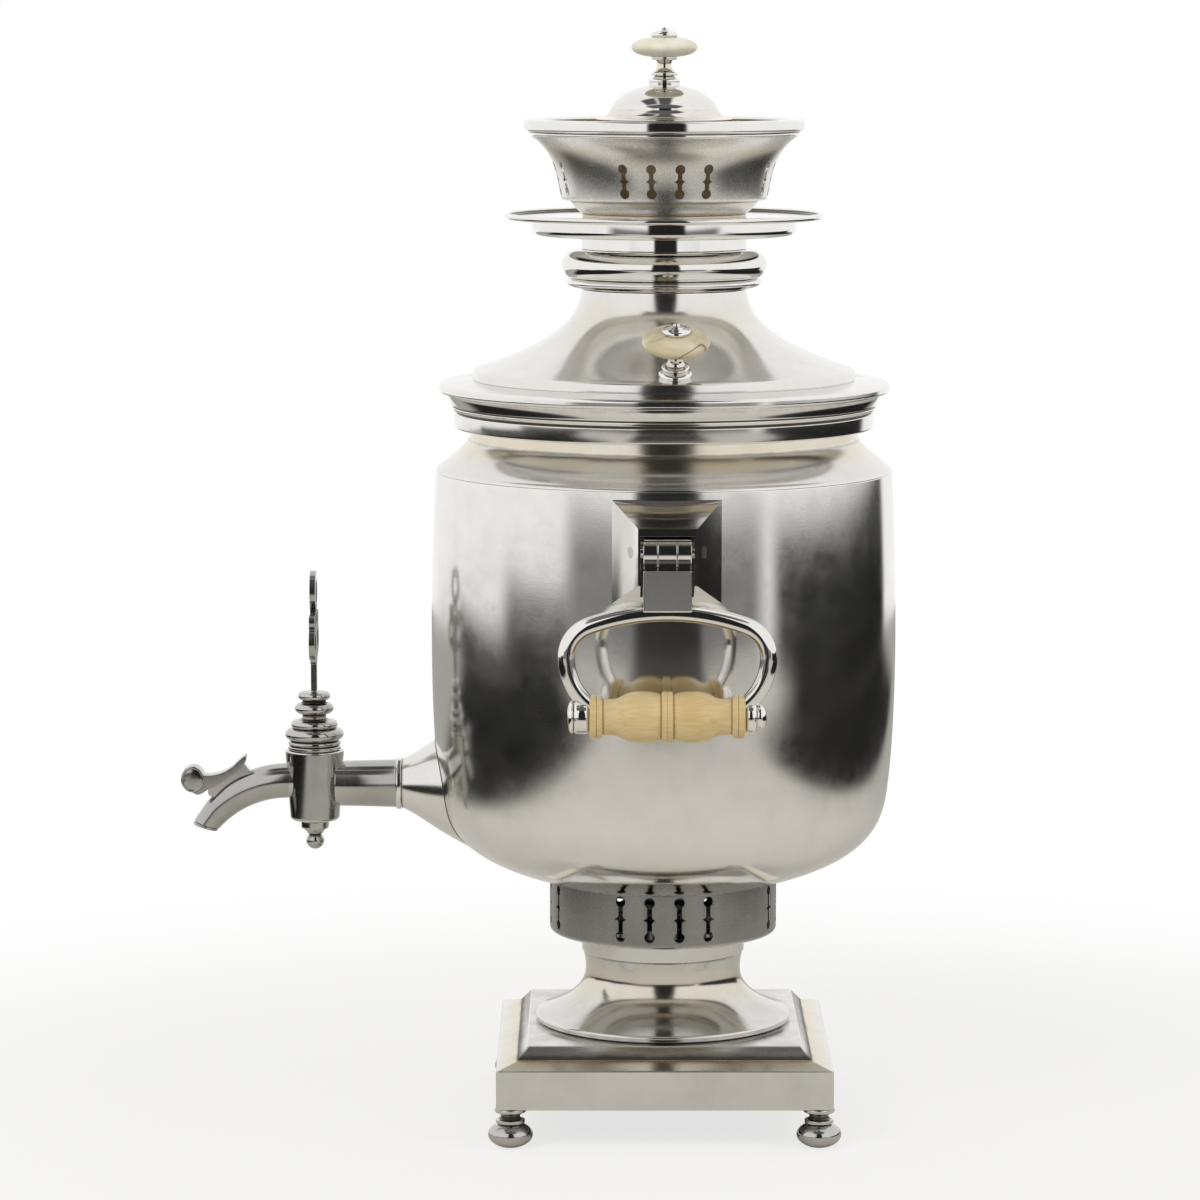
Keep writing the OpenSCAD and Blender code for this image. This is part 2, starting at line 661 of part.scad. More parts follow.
module lid_rim() color(silver) rotate_extrude() polygon([
    [skirt_in_r - sheet, mouth_z - lid_skirt_h], [skirt_in_r, mouth_z - lid_skirt_h],
    [skirt_in_r, mouth_z], [lid_rim_r - 0.6, mouth_z], [lid_rim_r, mouth_z + 0.6],
    [lid_rim_r, lid_top_z - 0.9], [lid_rim_r - 0.9, lid_top_z],
    [lid_ring_r + 1.8, lid_top_z + 1.4], [lid_ring_r - sheet, lid_top_z + 1.4],
    [lid_ring_r - sheet, mouth_z + 1.6], [skirt_in_r - sheet, mouth_z + 1.6],
]);

cone_curve = concat(
    [[lid_ring_r, lid_top_z + 1.4], [lid_ring_r, lid_top_z + 0.55 * lid_ring_h],
        [lid_ring_r - 0.6, lid_top_z + 0.8 * lid_ring_h], [lid_ring_r - 1.8, cone_z - 0.5]],
    curve([lid_ring_r - 3, cone_z], [lid_ring_r - 0.43 * (lid_ring_r - lid_neck_r), cone_z + 0.19 * lid_cone_h],
        [lid_neck_r + 0.9, cone_z + 0.44 * lid_cone_h], [lid_neck_r, collar_z], 20)
);

module lid_cone() color(silver) difference() {
    spun_sheet(cone_curve, sheet);
    lid_knob_at(0) lid_knob_hole();
    lid_knob_at(180) lid_knob_hole();
}

module lid_collar() color(silver) spun_sheet(concat(
    [[lid_neck_r, collar_z], [lid_neck_r + 0.4, collar_z + 1]],
    arc(lid_neck_r + 1, collar_z + 0.175 * lid_collar_h, 0.65 * lid_bead_w, 0.142 * lid_collar_h, -70, 48, 8),
    arc(lid_neck_r + 1.6, collar_z + 0.6 * lid_collar_h, lid_bead_w - 1.6, 0.38 * lid_collar_h, -52, 88, 14),
    [[lid_neck_r, crown_z]]
), sheet);

// Slope of the cone and its level under a lid knob
knob_step = [for (i = [1:len(cone_curve) - 1])
    if (cone_curve[i][0] <= lid_knob_r && cone_curve[i - 1][0] > lid_knob_r) [cone_curve[i - 1], cone_curve[i]]][0];
knob_run = knob_step[1] - knob_step[0];
knob_tilt = atan2(knob_run[1], -knob_run[0]);
knob_z = knob_step[0][1] + (lid_knob_r - knob_step[0][0]) * knob_run[1] / knob_run[0];

// Frame of a lid knob: z = 0 on the cone, tilted square to its slope
module lid_knob_at(side) rotate([0, 0, lid_knob_turn + side])
    translate([0, -lid_knob_r, knob_z]) rotate([knob_tilt, 0, 0]) children();

module lid_knob_hole() translate([0, 0, -knob_stud_l]) cylinder(d = knob_stud_d, h = 2 * knob_stud_l);

module lid_form() turned(cone_curve);
module lid_space() turned(moved_left(cone_curve, sheet));

module lid_knob_stem(side) color(dark_silver) {
    difference() {
        lid_knob_at(side) knob_stem();
        lid_form();
    }
    lid_knob_at(side) knob_stud();
}
module lid_knob_disc(side) color(bone) lid_knob_at(side) knob_disc();
module lid_knob_cap(side) color(dark_silver) lid_knob_at(side) knob_cap();
module lid_knob_nuts() color(dark_silver) intersection() {
    lid_space();
    union() for (side = [0, 180]) lid_knob_at(side) translate([0, 0, -sheet - 0.8 * small_nut_h])
        hex_nut(2 * knob_stud_d, knob_stud_d, small_nut_h);
}

// ---- Crown -----------------------------------------------------------------

module crown_sleeve() color(silver) rotate_extrude() polygon([
    [spigot_r - sheet, crown_z - crown_spigot_h], [spigot_r, crown_z - crown_spigot_h],
    [spigot_r, crown_z], [spigot_r + crown_collar_w, crown_z], [spigot_r + crown_collar_w, skirt_z],
    [spigot_r, skirt_z], [spigot_r, cove_z + 2], [spigot_r - sheet, cove_z + 2],
]);

module crown_skirt() color(silver) spun_sheet(concat(
    [[spigot_r, skirt_z], [crown_skirt_d / 2 - 3, skirt_z]],
    arc(crown_skirt_d / 2 - 3, skirt_z + 3, 3, 3, -90, 0, 6),
    [[crown_skirt_d / 2, plate_z]]
), sheet);

module crown_plate() color(silver) translate([0, 0, plate_z]) {
    bead_r = crown_bead_d / 2;
    edge_r = crown_plate_d / 2 - bead_r;
    ring_of(spigot_r, edge_r, sheet);
    rotate_extrude() translate([edge_r, bead_r]) circle(bead_r, $fn = 32);
}

gallery_r = spigot_r + gallery_w;
gallery_top_r = gallery_rim_d / 2 - 3;
gallery_curve = concat(
    [[spigot_r + sheet, cove_z], [spigot_r + sheet, cove_z + 1.2]],
    curve([spigot_r + sheet + 0.4, cove_z + 1.5], [spigot_r + 0.31 * gallery_w, cove_z + 0.3 * gallery_cove_h],
        [spigot_r + 0.41 * gallery_w, gallery_z - 0.54 * gallery_cove_h],
        [spigot_r + 0.65 * gallery_w, gallery_z - 1], 6),
    [[spigot_r + 0.93 * gallery_w, gallery_z - 0.7], [gallery_r, gallery_z]],
    curve([gallery_r, gallery_z], [gallery_r + 0.21 * gallery_w, gallery_z + 0.4 * gallery_h],
        [gallery_r + 0.28 * gallery_w, gallery_z + 0.75 * gallery_h], [gallery_top_r, rim_z + 0.4], 16)
);

module crown_gallery() color(silver) difference() {
    between(cove_z, rim_z) spun_sheet(gallery_curve, sheet);
    slots(crown_slot_l, gallery_r, gallery_z + 0.31 * gallery_h);
}

module crown_rim() color(silver) {
    r = gallery_rim_d / 2;
    rotate_extrude() polygon([
        [r - 6.2, rim_z], [r - 3, rim_z], [r - 2.4, rim_z + 0.6], [r - 2.6, rim_z + 1.6],
        [r - 0.6, rim_z + 2.1], [r, rim_z + 2.7], [r, seat_z - 0.6], [r - 0.6, seat_z],
        [r - 0.6 - gallery_flat_w, seat_z], [r - 1.2 - gallery_flat_w, seat_z - 0.6],
        [r - 1.2 - gallery_flat_w, seat_z - 2.6], [r - 6.2, rim_z + 1.6],
    ]);
}

// ---- Cap of the fire tube --------------------------------------------------

cap_flange_r = fire_top_r - cap_flange_in;
dome_r = cap_flange_r - cap_ledge_w;
dome_z = chimney_z + 1.5 * sheet;
cap_curve = concat(
    [[cap_flange_r, chimney_z], [cap_flange_r, chimney_z + sheet]],
    curve([cap_flange_r - 0.1 * cap_ledge_w, chimney_z + 1.1 * sheet],
        [dome_r + 0.35 * cap_ledge_w, chimney_z + 1.35 * sheet],
        [dome_r + 0.1 * cap_ledge_w, chimney_z + 2.2 * sheet],
        [dome_r - 0.14 * cap_ledge_w, dome_z + 0.18 * cap_dome_h], 6),
    arc(0, dome_z, dome_r, cap_top_z - dome_z, 16, 90, 16)
);

module chimney_cap() color(silver) difference() {
    union() {
        turned(cap_curve);
        translate([0, 0, chimney_z - cap_spigot_h]) cylinder(r = chimney_bore_r - slip_gap, h = cap_spigot_h);
    }
    turned(concat(
        [[chimney_bore_r - slip_gap - sheet, chimney_z - 1.1 * cap_spigot_h],
            [chimney_bore_r - slip_gap - sheet, chimney_z + 0.4 * sheet], [dome_r - sheet, dome_z + 0.8 * sheet]],
        arc(0, dome_z, dome_r - sheet, cap_top_z - dome_z - sheet, 8, 90, 12)
    ));
    cap_knob_at() lid_knob_hole();
}

module cap_knob_at() translate([0, 0, cap_top_z]) children();
module cap_knob_stem() color(dark_silver) {
    difference() {
        cap_knob_at() knob_stem();
        turned(cap_curve);
    }
    cap_knob_at() knob_stud();
}
module cap_knob_disc() color(bone) cap_knob_at() knob_disc();
module cap_knob_cap() color(dark_silver) cap_knob_at() knob_cap();
module cap_knob_nut() color(dark_silver) difference() {
    cap_knob_at() translate([0, 0, 0.1 - sheet - small_nut_h]) hex_nut(2 * knob_stud_d, knob_stud_d, small_nut_h);
    difference() {
        translate([0, 0, chimney_z]) cylinder(r = cap_flange_r, h = 2 * cap_dome_h);
        turned([[dome_r - sheet, chimney_z], for (q = arc(0, dome_z, dome_r - sheet,
            cap_top_z - dome_z - sheet, 8, 90, 12)) q]);
    }
}

// ---- Drop handles ----------------------------------------------------------

// In the frame of a handle +Y points away from the body
module handle_side(side) rotate([0, 0, side]) children();

hinge_z = shoulder_z - hinge_down;
boss_y = body_r + boss_depth;
hinge_y = boss_y - knuckle_r;
boss_root = 14;
boss_edge = 3;
boss_bolt_d = 4;
bolt_reach = 12;
bolt_bite = 4.5;
bolt_head_h = 4;
slot_w = boss_front_w - 2 * boss_cheek_w;
arm_w = slot_w - 2 * arm_gap;
grip_y = hinge_y + loop_out;
loop_z = hinge_z - loop_drop;
grip_z = loop_z - grip_down;
loop_a = grip_l / 2 + loop_past;
eye_x = grip_l / 2 + 0.15;
rod_nut_h = 4.4;
grip_bead_w = 2.8;

// Axes of the two bolts of a boss, from inside the vessel outwards
module boss_bolts_at()
    for (z = [hinge_z + 0.62 * boss_up, hinge_z - 0.6 * boss_down])
        translate([0, body_r - bolt_reach, z]) rotate([-90, 0, 0]) children();

module boss_block() intersection() {
    rotate([90, 0, 90]) linear_extrude(2 * boss_w, center = true) polygon([
        [body_r - boss_root, hinge_z + boss_up], [body_r - boss_edge, hinge_z + boss_up],
        [boss_y, hinge_z + 0.52 * boss_up], [boss_y, hinge_z - 0.57 * boss_down],
        [body_r - boss_edge, hinge_z - boss_down], [body_r - boss_root, hinge_z - boss_down],
    ]);
    translate([0, 0, hinge_z - 1.2 * boss_down]) linear_extrude(1.3 * (boss_up + boss_down)) polygon([
        [-boss_w / 2, body_r - boss_root], [boss_w / 2, body_r - boss_root], [boss_w / 2, body_r - boss_edge],
        [boss_front_w / 2, boss_y], [-boss_front_w / 2, boss_y], [-boss_w / 2, body_r - boss_edge],
    ]);
}

module along_x(d, l) rotate([0, 90, 0]) cylinder(d = d, h = l, center = true);

module boss(side) color(silver) handle_side(side) difference() {
    boss_block();
    vessel_form();
    translate([-slot_w / 2, boss_y - 2 * knuckle_r - 1.5, hinge_z - 1.4 * boss_down])
        cube([slot_w, 2 * boss_depth, 1.4 * boss_down + knuckle_r + 0.6]);
    translate([0, hinge_y, hinge_z]) along_x(hinge_pin_d, 2 * boss_w);
    boss_bolts_at() cylinder(d = boss_bolt_d, h = bolt_reach + bolt_bite);
}

module boss_bolts(side) color(dark_silver) handle_side(side) {
    boss_bolts_at() translate([0, 0, bolt_reach - 3.5]) cylinder(d = boss_bolt_d, h = bolt_bite + 3.5);
    intersection() {
        vessel_space();
        boss_bolts_at() translate([0, 0, bolt_reach - sheet - bolt_head_h])
            cylinder(d = 2 * boss_bolt_d, h = 2 * bolt_head_h);
    }
}

module hinge_pin(side) color(dark_silver) handle_side(side) intersection() {
    boss_block();
    translate([0, hinge_y, hinge_z]) along_x(hinge_pin_d, 2 * boss_w);
}

// A length of round bar bent round [x, z] from angle a0 to a1
module bent_bar(x, z, r, a0, a1) translate([x, 0, z]) rotate([90, 0, 0]) rotate([0, 0, a0])
    rotate_extrude(angle = a1 - a0) translate([r, 0]) circle(d = loop_bar_d, $fn = 32);

// The top of the loop is an arc that runs tangent into both corner arcs
loop_top_r = (loop_a * loop_a - 2 * loop_a * loop_corner_r + loop_b * loop_b) / (2 * (loop_b - loop_corner_r));
corner_x = loop_a - loop_corner_r;
corner_angle = atan2(loop_top_r - loop_b, corner_x);
leg_angle = asin((grip_down - 0.375 * eye_d) / loop_leg_r);

module loop_bar() {
    bent_bar(0, loop_b - loop_top_r, loop_top_r, corner_angle, 180 - corner_angle);
    bent_bar(corner_x, 0, loop_corner_r, 0, corner_angle);
    bent_bar(-corner_x, 0, loop_corner_r, 180 - corner_angle, 180);
    bent_bar(loop_a - loop_leg_r, 0, loop_leg_r, -leg_angle, 0);
    bent_bar(loop_leg_r - loop_a, 0, loop_leg_r, 180, 180 + leg_angle);
}

module arm() {
    face_y = loop_out + loop_bar_d / 2 + 0.4;
    foot_drop = loop_drop - loop_b;
    along_x(2 * knuckle_r, arm_w);
    rotate([90, 0, 90]) linear_extrude(arm_w, center = true) polygon([
        [-0.83 * knuckle_r, -0.54 * knuckle_r], [loop_out - 5, -foot_drop],
        [loop_out, -foot_drop - 0.8], [face_y, 1.5 - foot_drop], [face_y, 0.1 - knuckle_r],
        [0.5 * knuckle_r, 0.1 - knuckle_r], [0.5 * knuckle_r, 0],
    ]);
}

module loop(side) color(silver) handle_side(side) difference() {
    union() {
        translate([0, hinge_y, hinge_z]) arm();
        translate([0, grip_y, loop_z]) loop_bar();
        translate([0, grip_y, grip_z]) {
            translate([eye_x + eye_l / 2, 0, 0]) along_x(eye_d, eye_l);
            translate([-eye_x - nut_eye_l / 2, 0, 0]) along_x(nut_eye_d, nut_eye_l);
        }
    }
    translate([0, hinge_y, hinge_z]) along_x(hinge_pin_d + 2 * fit_gap, 2 * arm_w);
    translate([0, grip_y, grip_z]) {
        along_x(rod_d, 4 * loop_a);
        translate([0, 0, -eye_d]) cube([2 * eye_x, 2 * eye_d, grip_collar_d + 2.4 + 2 * eye_d], center = true);
    }
}

// A turning about the axis of the grip, its outline given as [radius, x]
module on_grip_axis() translate([0, grip_y, grip_z]) rotate([0, 90, 0]) children();

module grip_rod(side) color(dark_silver) handle_side(side) on_grip_axis() {
    head_x = eye_x + eye_l;
    end_x = -eye_x - nut_eye_l - 0.6 * rod_nut_h;
    rotate_extrude() polygon(concat(
        [[0, end_x], [rod_d / 2, end_x], [rod_d / 2, head_x], [eye_d / 2 - 0.5, head_x]],
        arc(0, head_x + 0.5, eye_d / 2 - 0.2, 2.6, 0, 80, 6), [[0, head_x + 3.1]]
    ));
}

module rod_nut(side) color(dark_silver) handle_side(side) on_grip_axis() {
    seat_x = -eye_x - nut_eye_l;
    difference() {
        rotate_extrude() polygon([
            [0, seat_x - rod_nut_h], [0.44 * rod_d, seat_x - rod_nut_h],
            [0.68 * rod_d, seat_x - 0.89 * rod_nut_h], [rod_d, seat_x - 0.66 * rod_nut_h],
            [1.08 * rod_d, seat_x - 0.41 * rod_nut_h], [1.04 * rod_d, seat_x - 0.14 * rod_nut_h],
            [0.92 * rod_d, seat_x], [0, seat_x],
        ]);
        translate([0, 0, seat_x - 0.6 * rod_nut_h]) cylinder(d = rod_d, h = 2 * rod_nut_h);
    }
}

grip_half = concat(
    [[grip_d / 2 + 0.3, 0], [grip_d / 2 + 0.3, 0.57 * grip_bead_w], [grip_d / 2, 0.86 * grip_bead_w],
        [grip_d / 2 - 0.9, grip_bead_w]],
    curve([grip_d / 2 - 0.5, 1.14 * grip_bead_w], [grip_d / 2 + 0.7, 0.27 * grip_l], [grip_d / 2 - 3, 0.29 * grip_l],
        [grip_collar_d / 2 - 1.4, 0.41 * grip_l], 12),
    [[grip_collar_d / 2 - 1.8, 0.415 * grip_l], [grip_collar_d / 2 - 0.5, 0.42 * grip_l],
        [grip_collar_d / 2, 0.43 * grip_l], [grip_collar_d / 2, grip_l / 2 - 0.5],
        [grip_collar_d / 2 - 0.5, grip_l / 2]]
);

module grip(side) color(boxwood) handle_side(side) on_grip_axis() rotate_extrude() polygon(spaced(concat(
    [[rod_d / 2, -grip_l / 2]], [for (q = reversed(grip_half)) [q[0], -q[1]]], grip_half,
    [[rod_d / 2, grip_l / 2]]
)));

// ---- Tap -------------------------------------------------------------------

tap_z = wall_z + tap_up;
tap_reach = body_r + tap_out;
barrel_r = barrel_d / 2;
barrel_edge_r = 1.8;
barrel_top_z = tap_z + barrel_up;
barrel_foot_z = tap_z - barrel_down;
joint_d = body_r + flange_l;
pipe_r = pipe_d / 2;
tail_l = 6;
tail_end_d = wall_foot_r - sheet - tail_l;
flange_root = 28;
flange_lip_w = 2.6;
key_z = barrel_top_z + plug_head_h;
tang_l = 5;
tang_d = key_t - 0.4;
pin_l = 8;
pin_r = pin_d / 2;

// A turning about the pipe axis, its outline given as [radius, distance from the samovar axis]
module on_pipe_axis() translate([0, 0, tap_z]) rotate([0, -90, 0]) children();
module on_plug_axis() translate([-tap_reach, 0, 0]) children();

module tap_flange() color(silver) difference() {
    on_pipe_axis() turned(concat(
        curve([1.17 * flange_r, body_r - flange_root], [0.82 * flange_r, body_r - 0.21 * flange_l],
            [1.355 * pipe_r, body_r + flange_l / 3], [1.056 * pipe_r, joint_d - flange_lip_w], 14),
        [[1.11 * pipe_r, joint_d - 0.85 * flange_lip_w], [1.12 * pipe_r, joint_d - 0.2 * flange_lip_w],
            [1.08 * pipe_r, joint_d]]
    ));
    vessel_form();
    on_pipe_axis() cylinder(d = tail_d, h = 2 * body_r);
}

module tap_body() color(dark_silver) difference() {
    union() {
        on_pipe_axis() turned([
            [tail_d / 2, tail_end_d], [tail_d / 2, joint_d], [1.056 * pipe_r, joint_d],
            [1.028 * pipe_r, joint_d + 0.4 * flange_lip_w], [0.97 * pipe_r, tap_reach],
        ]);
        on_plug_axis() turned(concat(
            arc(barrel_r - barrel_in - barrel_edge_r, barrel_foot_z + barrel_edge_r,
                barrel_edge_r, barrel_edge_r, -90, 0, 5),
            [[barrel_r, barrel_top_z - 0.9 * barrel_edge_r], [barrel_r, barrel_top_z - 0.22 * barrel_edge_r],
                [barrel_r - 0.28 * barrel_edge_r, barrel_top_z]]
        ));
    }
    on_plug_axis() translate([0, 0, barrel_foot_z])
        cylinder(r1 = plug_d / 2 - plug_in + fit_gap, r2 = plug_d / 2 + fit_gap, h = barrel_up + barrel_down);
    on_pipe_axis() cylinder(d = waterway_d, h = tap_reach + barrel_r + 1);
}

module tap_lock_nut() color(dark_silver) intersection() {
    vessel_space();
    on_pipe_axis() translate([0, 0, tail_end_d + 0.2 * tail_l]) hex_nut(1.41 * tail_d, tail_d, 2 * tail_l);
}

// Centre line of the spout: angle a of the bend, and a point r off the line at angle t round it
spout_x = -tap_reach - barrel_r + barrel_in / 2;
spout_z = tap_z + spout_rise;
spout_run = spout_bend * sin(spout_turn);
spout_drop = spout_bend * (1 - cos(spout_turn));
function spout_point(a, r, t) = [
    spout_x - spout_bend * sin(a) - r * cos(t) * sin(a), r * sin(t),
    spout_z - spout_bend * (1 - cos(a)) + r * cos(t) * cos(a)
];
spout_end = spout_turn + 16;
function spout_radius(a) = spout_r1 + (spout_r0 - spout_r1) * (1 - pow(min(max(a, 0) / spout_turn, 1), 2));

// A skin over rings of points that all hold the same number of points
module skin(rings) {
    n = len(rings[0]);
    m = len(rings);
    polyhedron(
        points = [for (ring = rings) each ring],
        faces = concat(
            [[for (j = [0:n - 1]) j]], [[for (j = [n - 1:-1:0]) (m - 1) * n + j]],
            [for (i = [0:m - 2], j = [0:n - 1])
                [i * n + j, (i + 1) * n + j, (i + 1) * n + (j + 1) % n, i * n + (j + 1) % n]]
        )
    );
}

spout_angles = [-12, -6, for (i = [0:10]) i * spout_end / 10];
module spout_skin(inner) skin([
    for (a = spout_angles) [for (j = [0:19]) let (b = max(a, 0), run = a < 0 ? -a * 0.9 : 0)
        spout_point(b, inner ? waterway_d / 2 : spout_radius(a), 18 * j) + [run, 0, 0]]
]);

// Side view of the scroll, in shares of the spout's run from the barrel and of its drop
scroll_shares = [
    [0.495, 0.597], [0.524, 0.534], [0.622, 0.377], [0.718, 0.289], [0.863, 0.176], [0.996, 0.088],
    [1.158, 0.147], [1.158, -0.215], [1.115, -0.323], [1.015, -0.401], [0.972, -0.431], [0.789, -0.225],
    [0.622, 0.039], [0.442, 0.196], [0.426, 0.362], [0.474, 0.411],
];
volute_share = [1.163, 0.039];
function scroll_at(q) = [q[0] * spout_run, q[1] * spout_drop];

// Frame of the mouth: z = 0 in its plane, +z back into the spout
module at_mouth() translate([spout_x - spout_run, 0, spout_z - spout_drop]) rotate([0, mouth_tilt, 0]) children();

module tap_spout() color(dark_silver) difference() {
    union() {
        difference() {
            spout_skin(false);
            at_mouth() translate([-spout_bend / 2, -spout_bend / 2, -spout_bend]) cube(spout_bend);
        }
        at_mouth() translate([0, 0, -lip_h]) cylinder(r = spout_r1 - 0.3 * lip_h, h = 2 * lip_h);
        translate([spout_x, 0, spout_z]) rotate([90, 0, 180]) {
            linear_extrude(scroll_w, center = true) polygon([for (q = scroll_shares) scroll_at(q)]);
            translate(scroll_at(volute_share))
                cylinder(r = volute_r, h = scroll_w + 1.4, center = true, $fn = 48);
        }
    }
    spout_skin(true);
    on_plug_axis() translate([0, 0, barrel_foot_z])
        cylinder(r1 = barrel_r - barrel_in, r2 = barrel_r + 0.1, h = barrel_up + barrel_down);
}

plug_r = plug_d / 2;
head_r = plug_head_d / 2;
function level(share) = barrel_top_z + share * plug_head_h;

module tap_plug() color(dark_silver) on_plug_axis() difference() {
    rotate_extrude() polygon(spaced(concat(
        [[0, barrel_foot_z - pin_l], [pin_r, barrel_foot_z - pin_l], [pin_r, barrel_foot_z],
            [plug_r - plug_in, barrel_foot_z], [plug_r, barrel_top_z]],
        [[head_r - 1.9, barrel_top_z], [head_r - 1.4, level(0.02)], [head_r - 1.5, level(0.06)],
            [head_r - 2.2, level(0.075)], [head_r - 1.5, level(0.1)], [head_r - 1.6, level(0.14)],
            [head_r - 2.4, level(0.165)]],
        arc(head_r - 2.6, level(0.265), 2.6, 0.094 * plug_head_h, -80, 84, 8),
        arc(head_r - 4.6, level(0.43), 1.9, 0.068 * plug_head_h, -70, 60, 6),
        [[head_r - 6.6, level(0.52)], [head_r - 7.9, level(0.56)], [head_r - 7.9, level(0.6)]],
        arc(head_r - 6.9, level(0.7), 2.4, 0.085 * plug_head_h, -80, 80, 8),
        [[head_r - 7.9, level(0.8)], [head_r - 7.9, level(0.84)]],
        arc(head_r - 8, level(0.91), 2, 0.07 * plug_head_h, -80, 70, 6),
        [[2.6, level(1)], [0, level(1)]]
    )));
    translate([0, 0, tap_z]) rotate([90, 0, 0]) cylinder(d = waterway_d, h = 2 * plug_d, center = true);
    translate([0, 0, key_z - tang_l]) cylinder(d = tang_d, h = tang_l + 1);
}

// Face of the key, as [y, height over the plug head]: a stem, two scrolls and a pierced top
key_stem_w = 4.4;
key_scroll_r = (key_half_w - 0.3 * key_stem_w) / 2;
key_scroll_x = key_half_w - key_scroll_r;
key_scroll_z = 0.42 * key_h;
key_boss_z = key_scroll_z + 1.28 * key_scroll_r;
key_ring_r = 0.17 * key_h;

module key_face() difference() {
    union() {
        translate([-key_stem_w / 2, 0]) square([key_stem_w, 0.7 * key_h]);
        for (side = [-1, 1]) {
            translate([side * key_scroll_x, key_scroll_z]) circle(key_scroll_r);
            translate([side * (key_half_w - 0.65 * key_scroll_r), key_scroll_z + 1.25 * key_scroll_r])
                circle(0.42 * key_scroll_r);
            translate([side * 0.73 * key_stem_w, key_scroll_z - 0.96 * key_scroll_r]) circle(0.77 * key_stem_w);
        }
        translate([0, key_boss_z]) circle(0.82 * key_scroll_r);
        translate([0, key_h - key_ring_r]) circle(key_ring_r);
    }
    for (side = [-1, 1]) translate([side * key_scroll_x, key_scroll_z]) circle(key_scroll_r / 2);
    translate([0, key_boss_z]) circle(0.3 * key_scroll_r);
    translate([0, key_h - key_ring_r]) circle(0.55 * key_ring_r);
}

module tap_key() color(dark_silver) on_plug_axis() {
    translate([0, 0, key_z]) rotate([90, 0, 90]) linear_extrude(key_t, center = true) key_face();
    translate([0, 0, key_z - tang_l]) cylinder(d = tang_d, h = tang_l + 1);
}

module tap_washer() color(dark_silver) on_plug_axis() translate([0, 0, barrel_foot_z - washer_t])
    rotate_extrude() polygon([
        [pin_r, 0], [washer_d / 2 - 0.5, 0], [washer_d / 2 - 0.1, 0.15 * washer_t],
        [washer_d / 2, 0.9 * washer_t], [washer_d / 2 - 0.4, washer_t], [pin_r, washer_t],
    ]);

module tap_nut() color(dark_silver) on_plug_axis() difference() {
    ball_r = tap_ball_d / 2;
    translate([0, 0, barrel_foot_z - washer_t - tap_nut_h]) turned(concat(
        arc(0, 0.95 * ball_r, ball_r, 0.95 * ball_r, -85, 50, 10),
        [[0.7 * ball_r, 0.75 * tap_nut_h], [0.9 * ball_r, 0.79 * tap_nut_h], [0.9 * ball_r, 0.85 * tap_nut_h],
            [1.2 * ball_r, 0.96 * tap_nut_h], [1.2 * ball_r, tap_nut_h]]
    ));
    translate([0, 0, barrel_foot_z - pin_l]) cylinder(d = pin_d, h = 2 * pin_l);
}

// ---- Assembly --------------------------------------------------------------

foot(-1, -1);  // foot_front_left
foot(1, -1);  // foot_front_right
foot(-1, 1);  // foot_rear_left
foot(1, 1);  // foot_rear_right
foot_nuts();
plinth();
pedestal();
vent_ring();
body_bowl();
body_wall();
body_shoulder();
top_ring();
fire_tube();
grate();
boss(180);  // boss_front
boss(0);  // boss_rear
boss_bolts(180);  // boss_bolts_front
boss_bolts(0);  // boss_bolts_rear
hinge_pin(180);  // hinge_pin_front
hinge_pin(0);  // hinge_pin_rear
loop(180);  // loop_front
loop(0);  // loop_rear
grip_rod(180);  // grip_rod_front
grip_rod(0);  // grip_rod_rear
rod_nut(180);  // rod_nut_front
rod_nut(0);  // rod_nut_rear
grip(180);  // grip_front
grip(0);  // grip_rear
tap_flange();
tap_body();
tap_spout();
tap_lock_nut();
tap_plug();
tap_key();
tap_washer();
tap_nut();
lid_rim();
lid_cone();
lid_collar();
lid_knob_nuts();
lid_knob_stem(0);  // lid_knob_stem_front
lid_knob_stem(180);  // lid_knob_stem_rear
lid_knob_disc(0);  // lid_knob_disc_front
lid_knob_disc(180);  // lid_knob_disc_rear
lid_knob_cap(0);  // lid_knob_cap_front
lid_knob_cap(180);  // lid_knob_cap_rear
crown_sleeve();
crown_skirt();
crown_plate();
crown_gallery();
crown_rim();
chimney_cap();
cap_knob_stem();
cap_knob_disc();
cap_knob_cap();
cap_knob_nut();
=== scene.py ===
"""Looks of a silver-plated charcoal samovar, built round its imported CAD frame.

Lengths inside the outlines are millimetres, [radius, height] from the axis and the floor.
"""

import json
import math

import bmesh
import bpy
import numpy as np
from bpy.props import FloatProperty, FloatVectorProperty, IntProperty, PointerProperty
from mathutils import Matrix, Vector


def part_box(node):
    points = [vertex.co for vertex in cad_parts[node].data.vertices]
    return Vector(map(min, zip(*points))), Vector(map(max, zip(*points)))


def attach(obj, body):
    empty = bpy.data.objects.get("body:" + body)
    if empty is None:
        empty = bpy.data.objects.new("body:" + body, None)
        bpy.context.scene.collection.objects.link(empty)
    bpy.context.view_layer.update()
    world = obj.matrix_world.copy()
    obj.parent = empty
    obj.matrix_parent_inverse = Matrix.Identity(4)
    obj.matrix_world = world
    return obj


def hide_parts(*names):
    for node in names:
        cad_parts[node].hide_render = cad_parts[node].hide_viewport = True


bl_info = {
    "name": "Charcoal samovar",
    "version": (1, 0, 0),
    "blender": (4, 5, 0),
    "location": "3D View > Sidebar > Samovar",
    "description": "Turned silver, wooden grips and bone knobs round the packed samovar",
    "category": "Add Mesh",
}

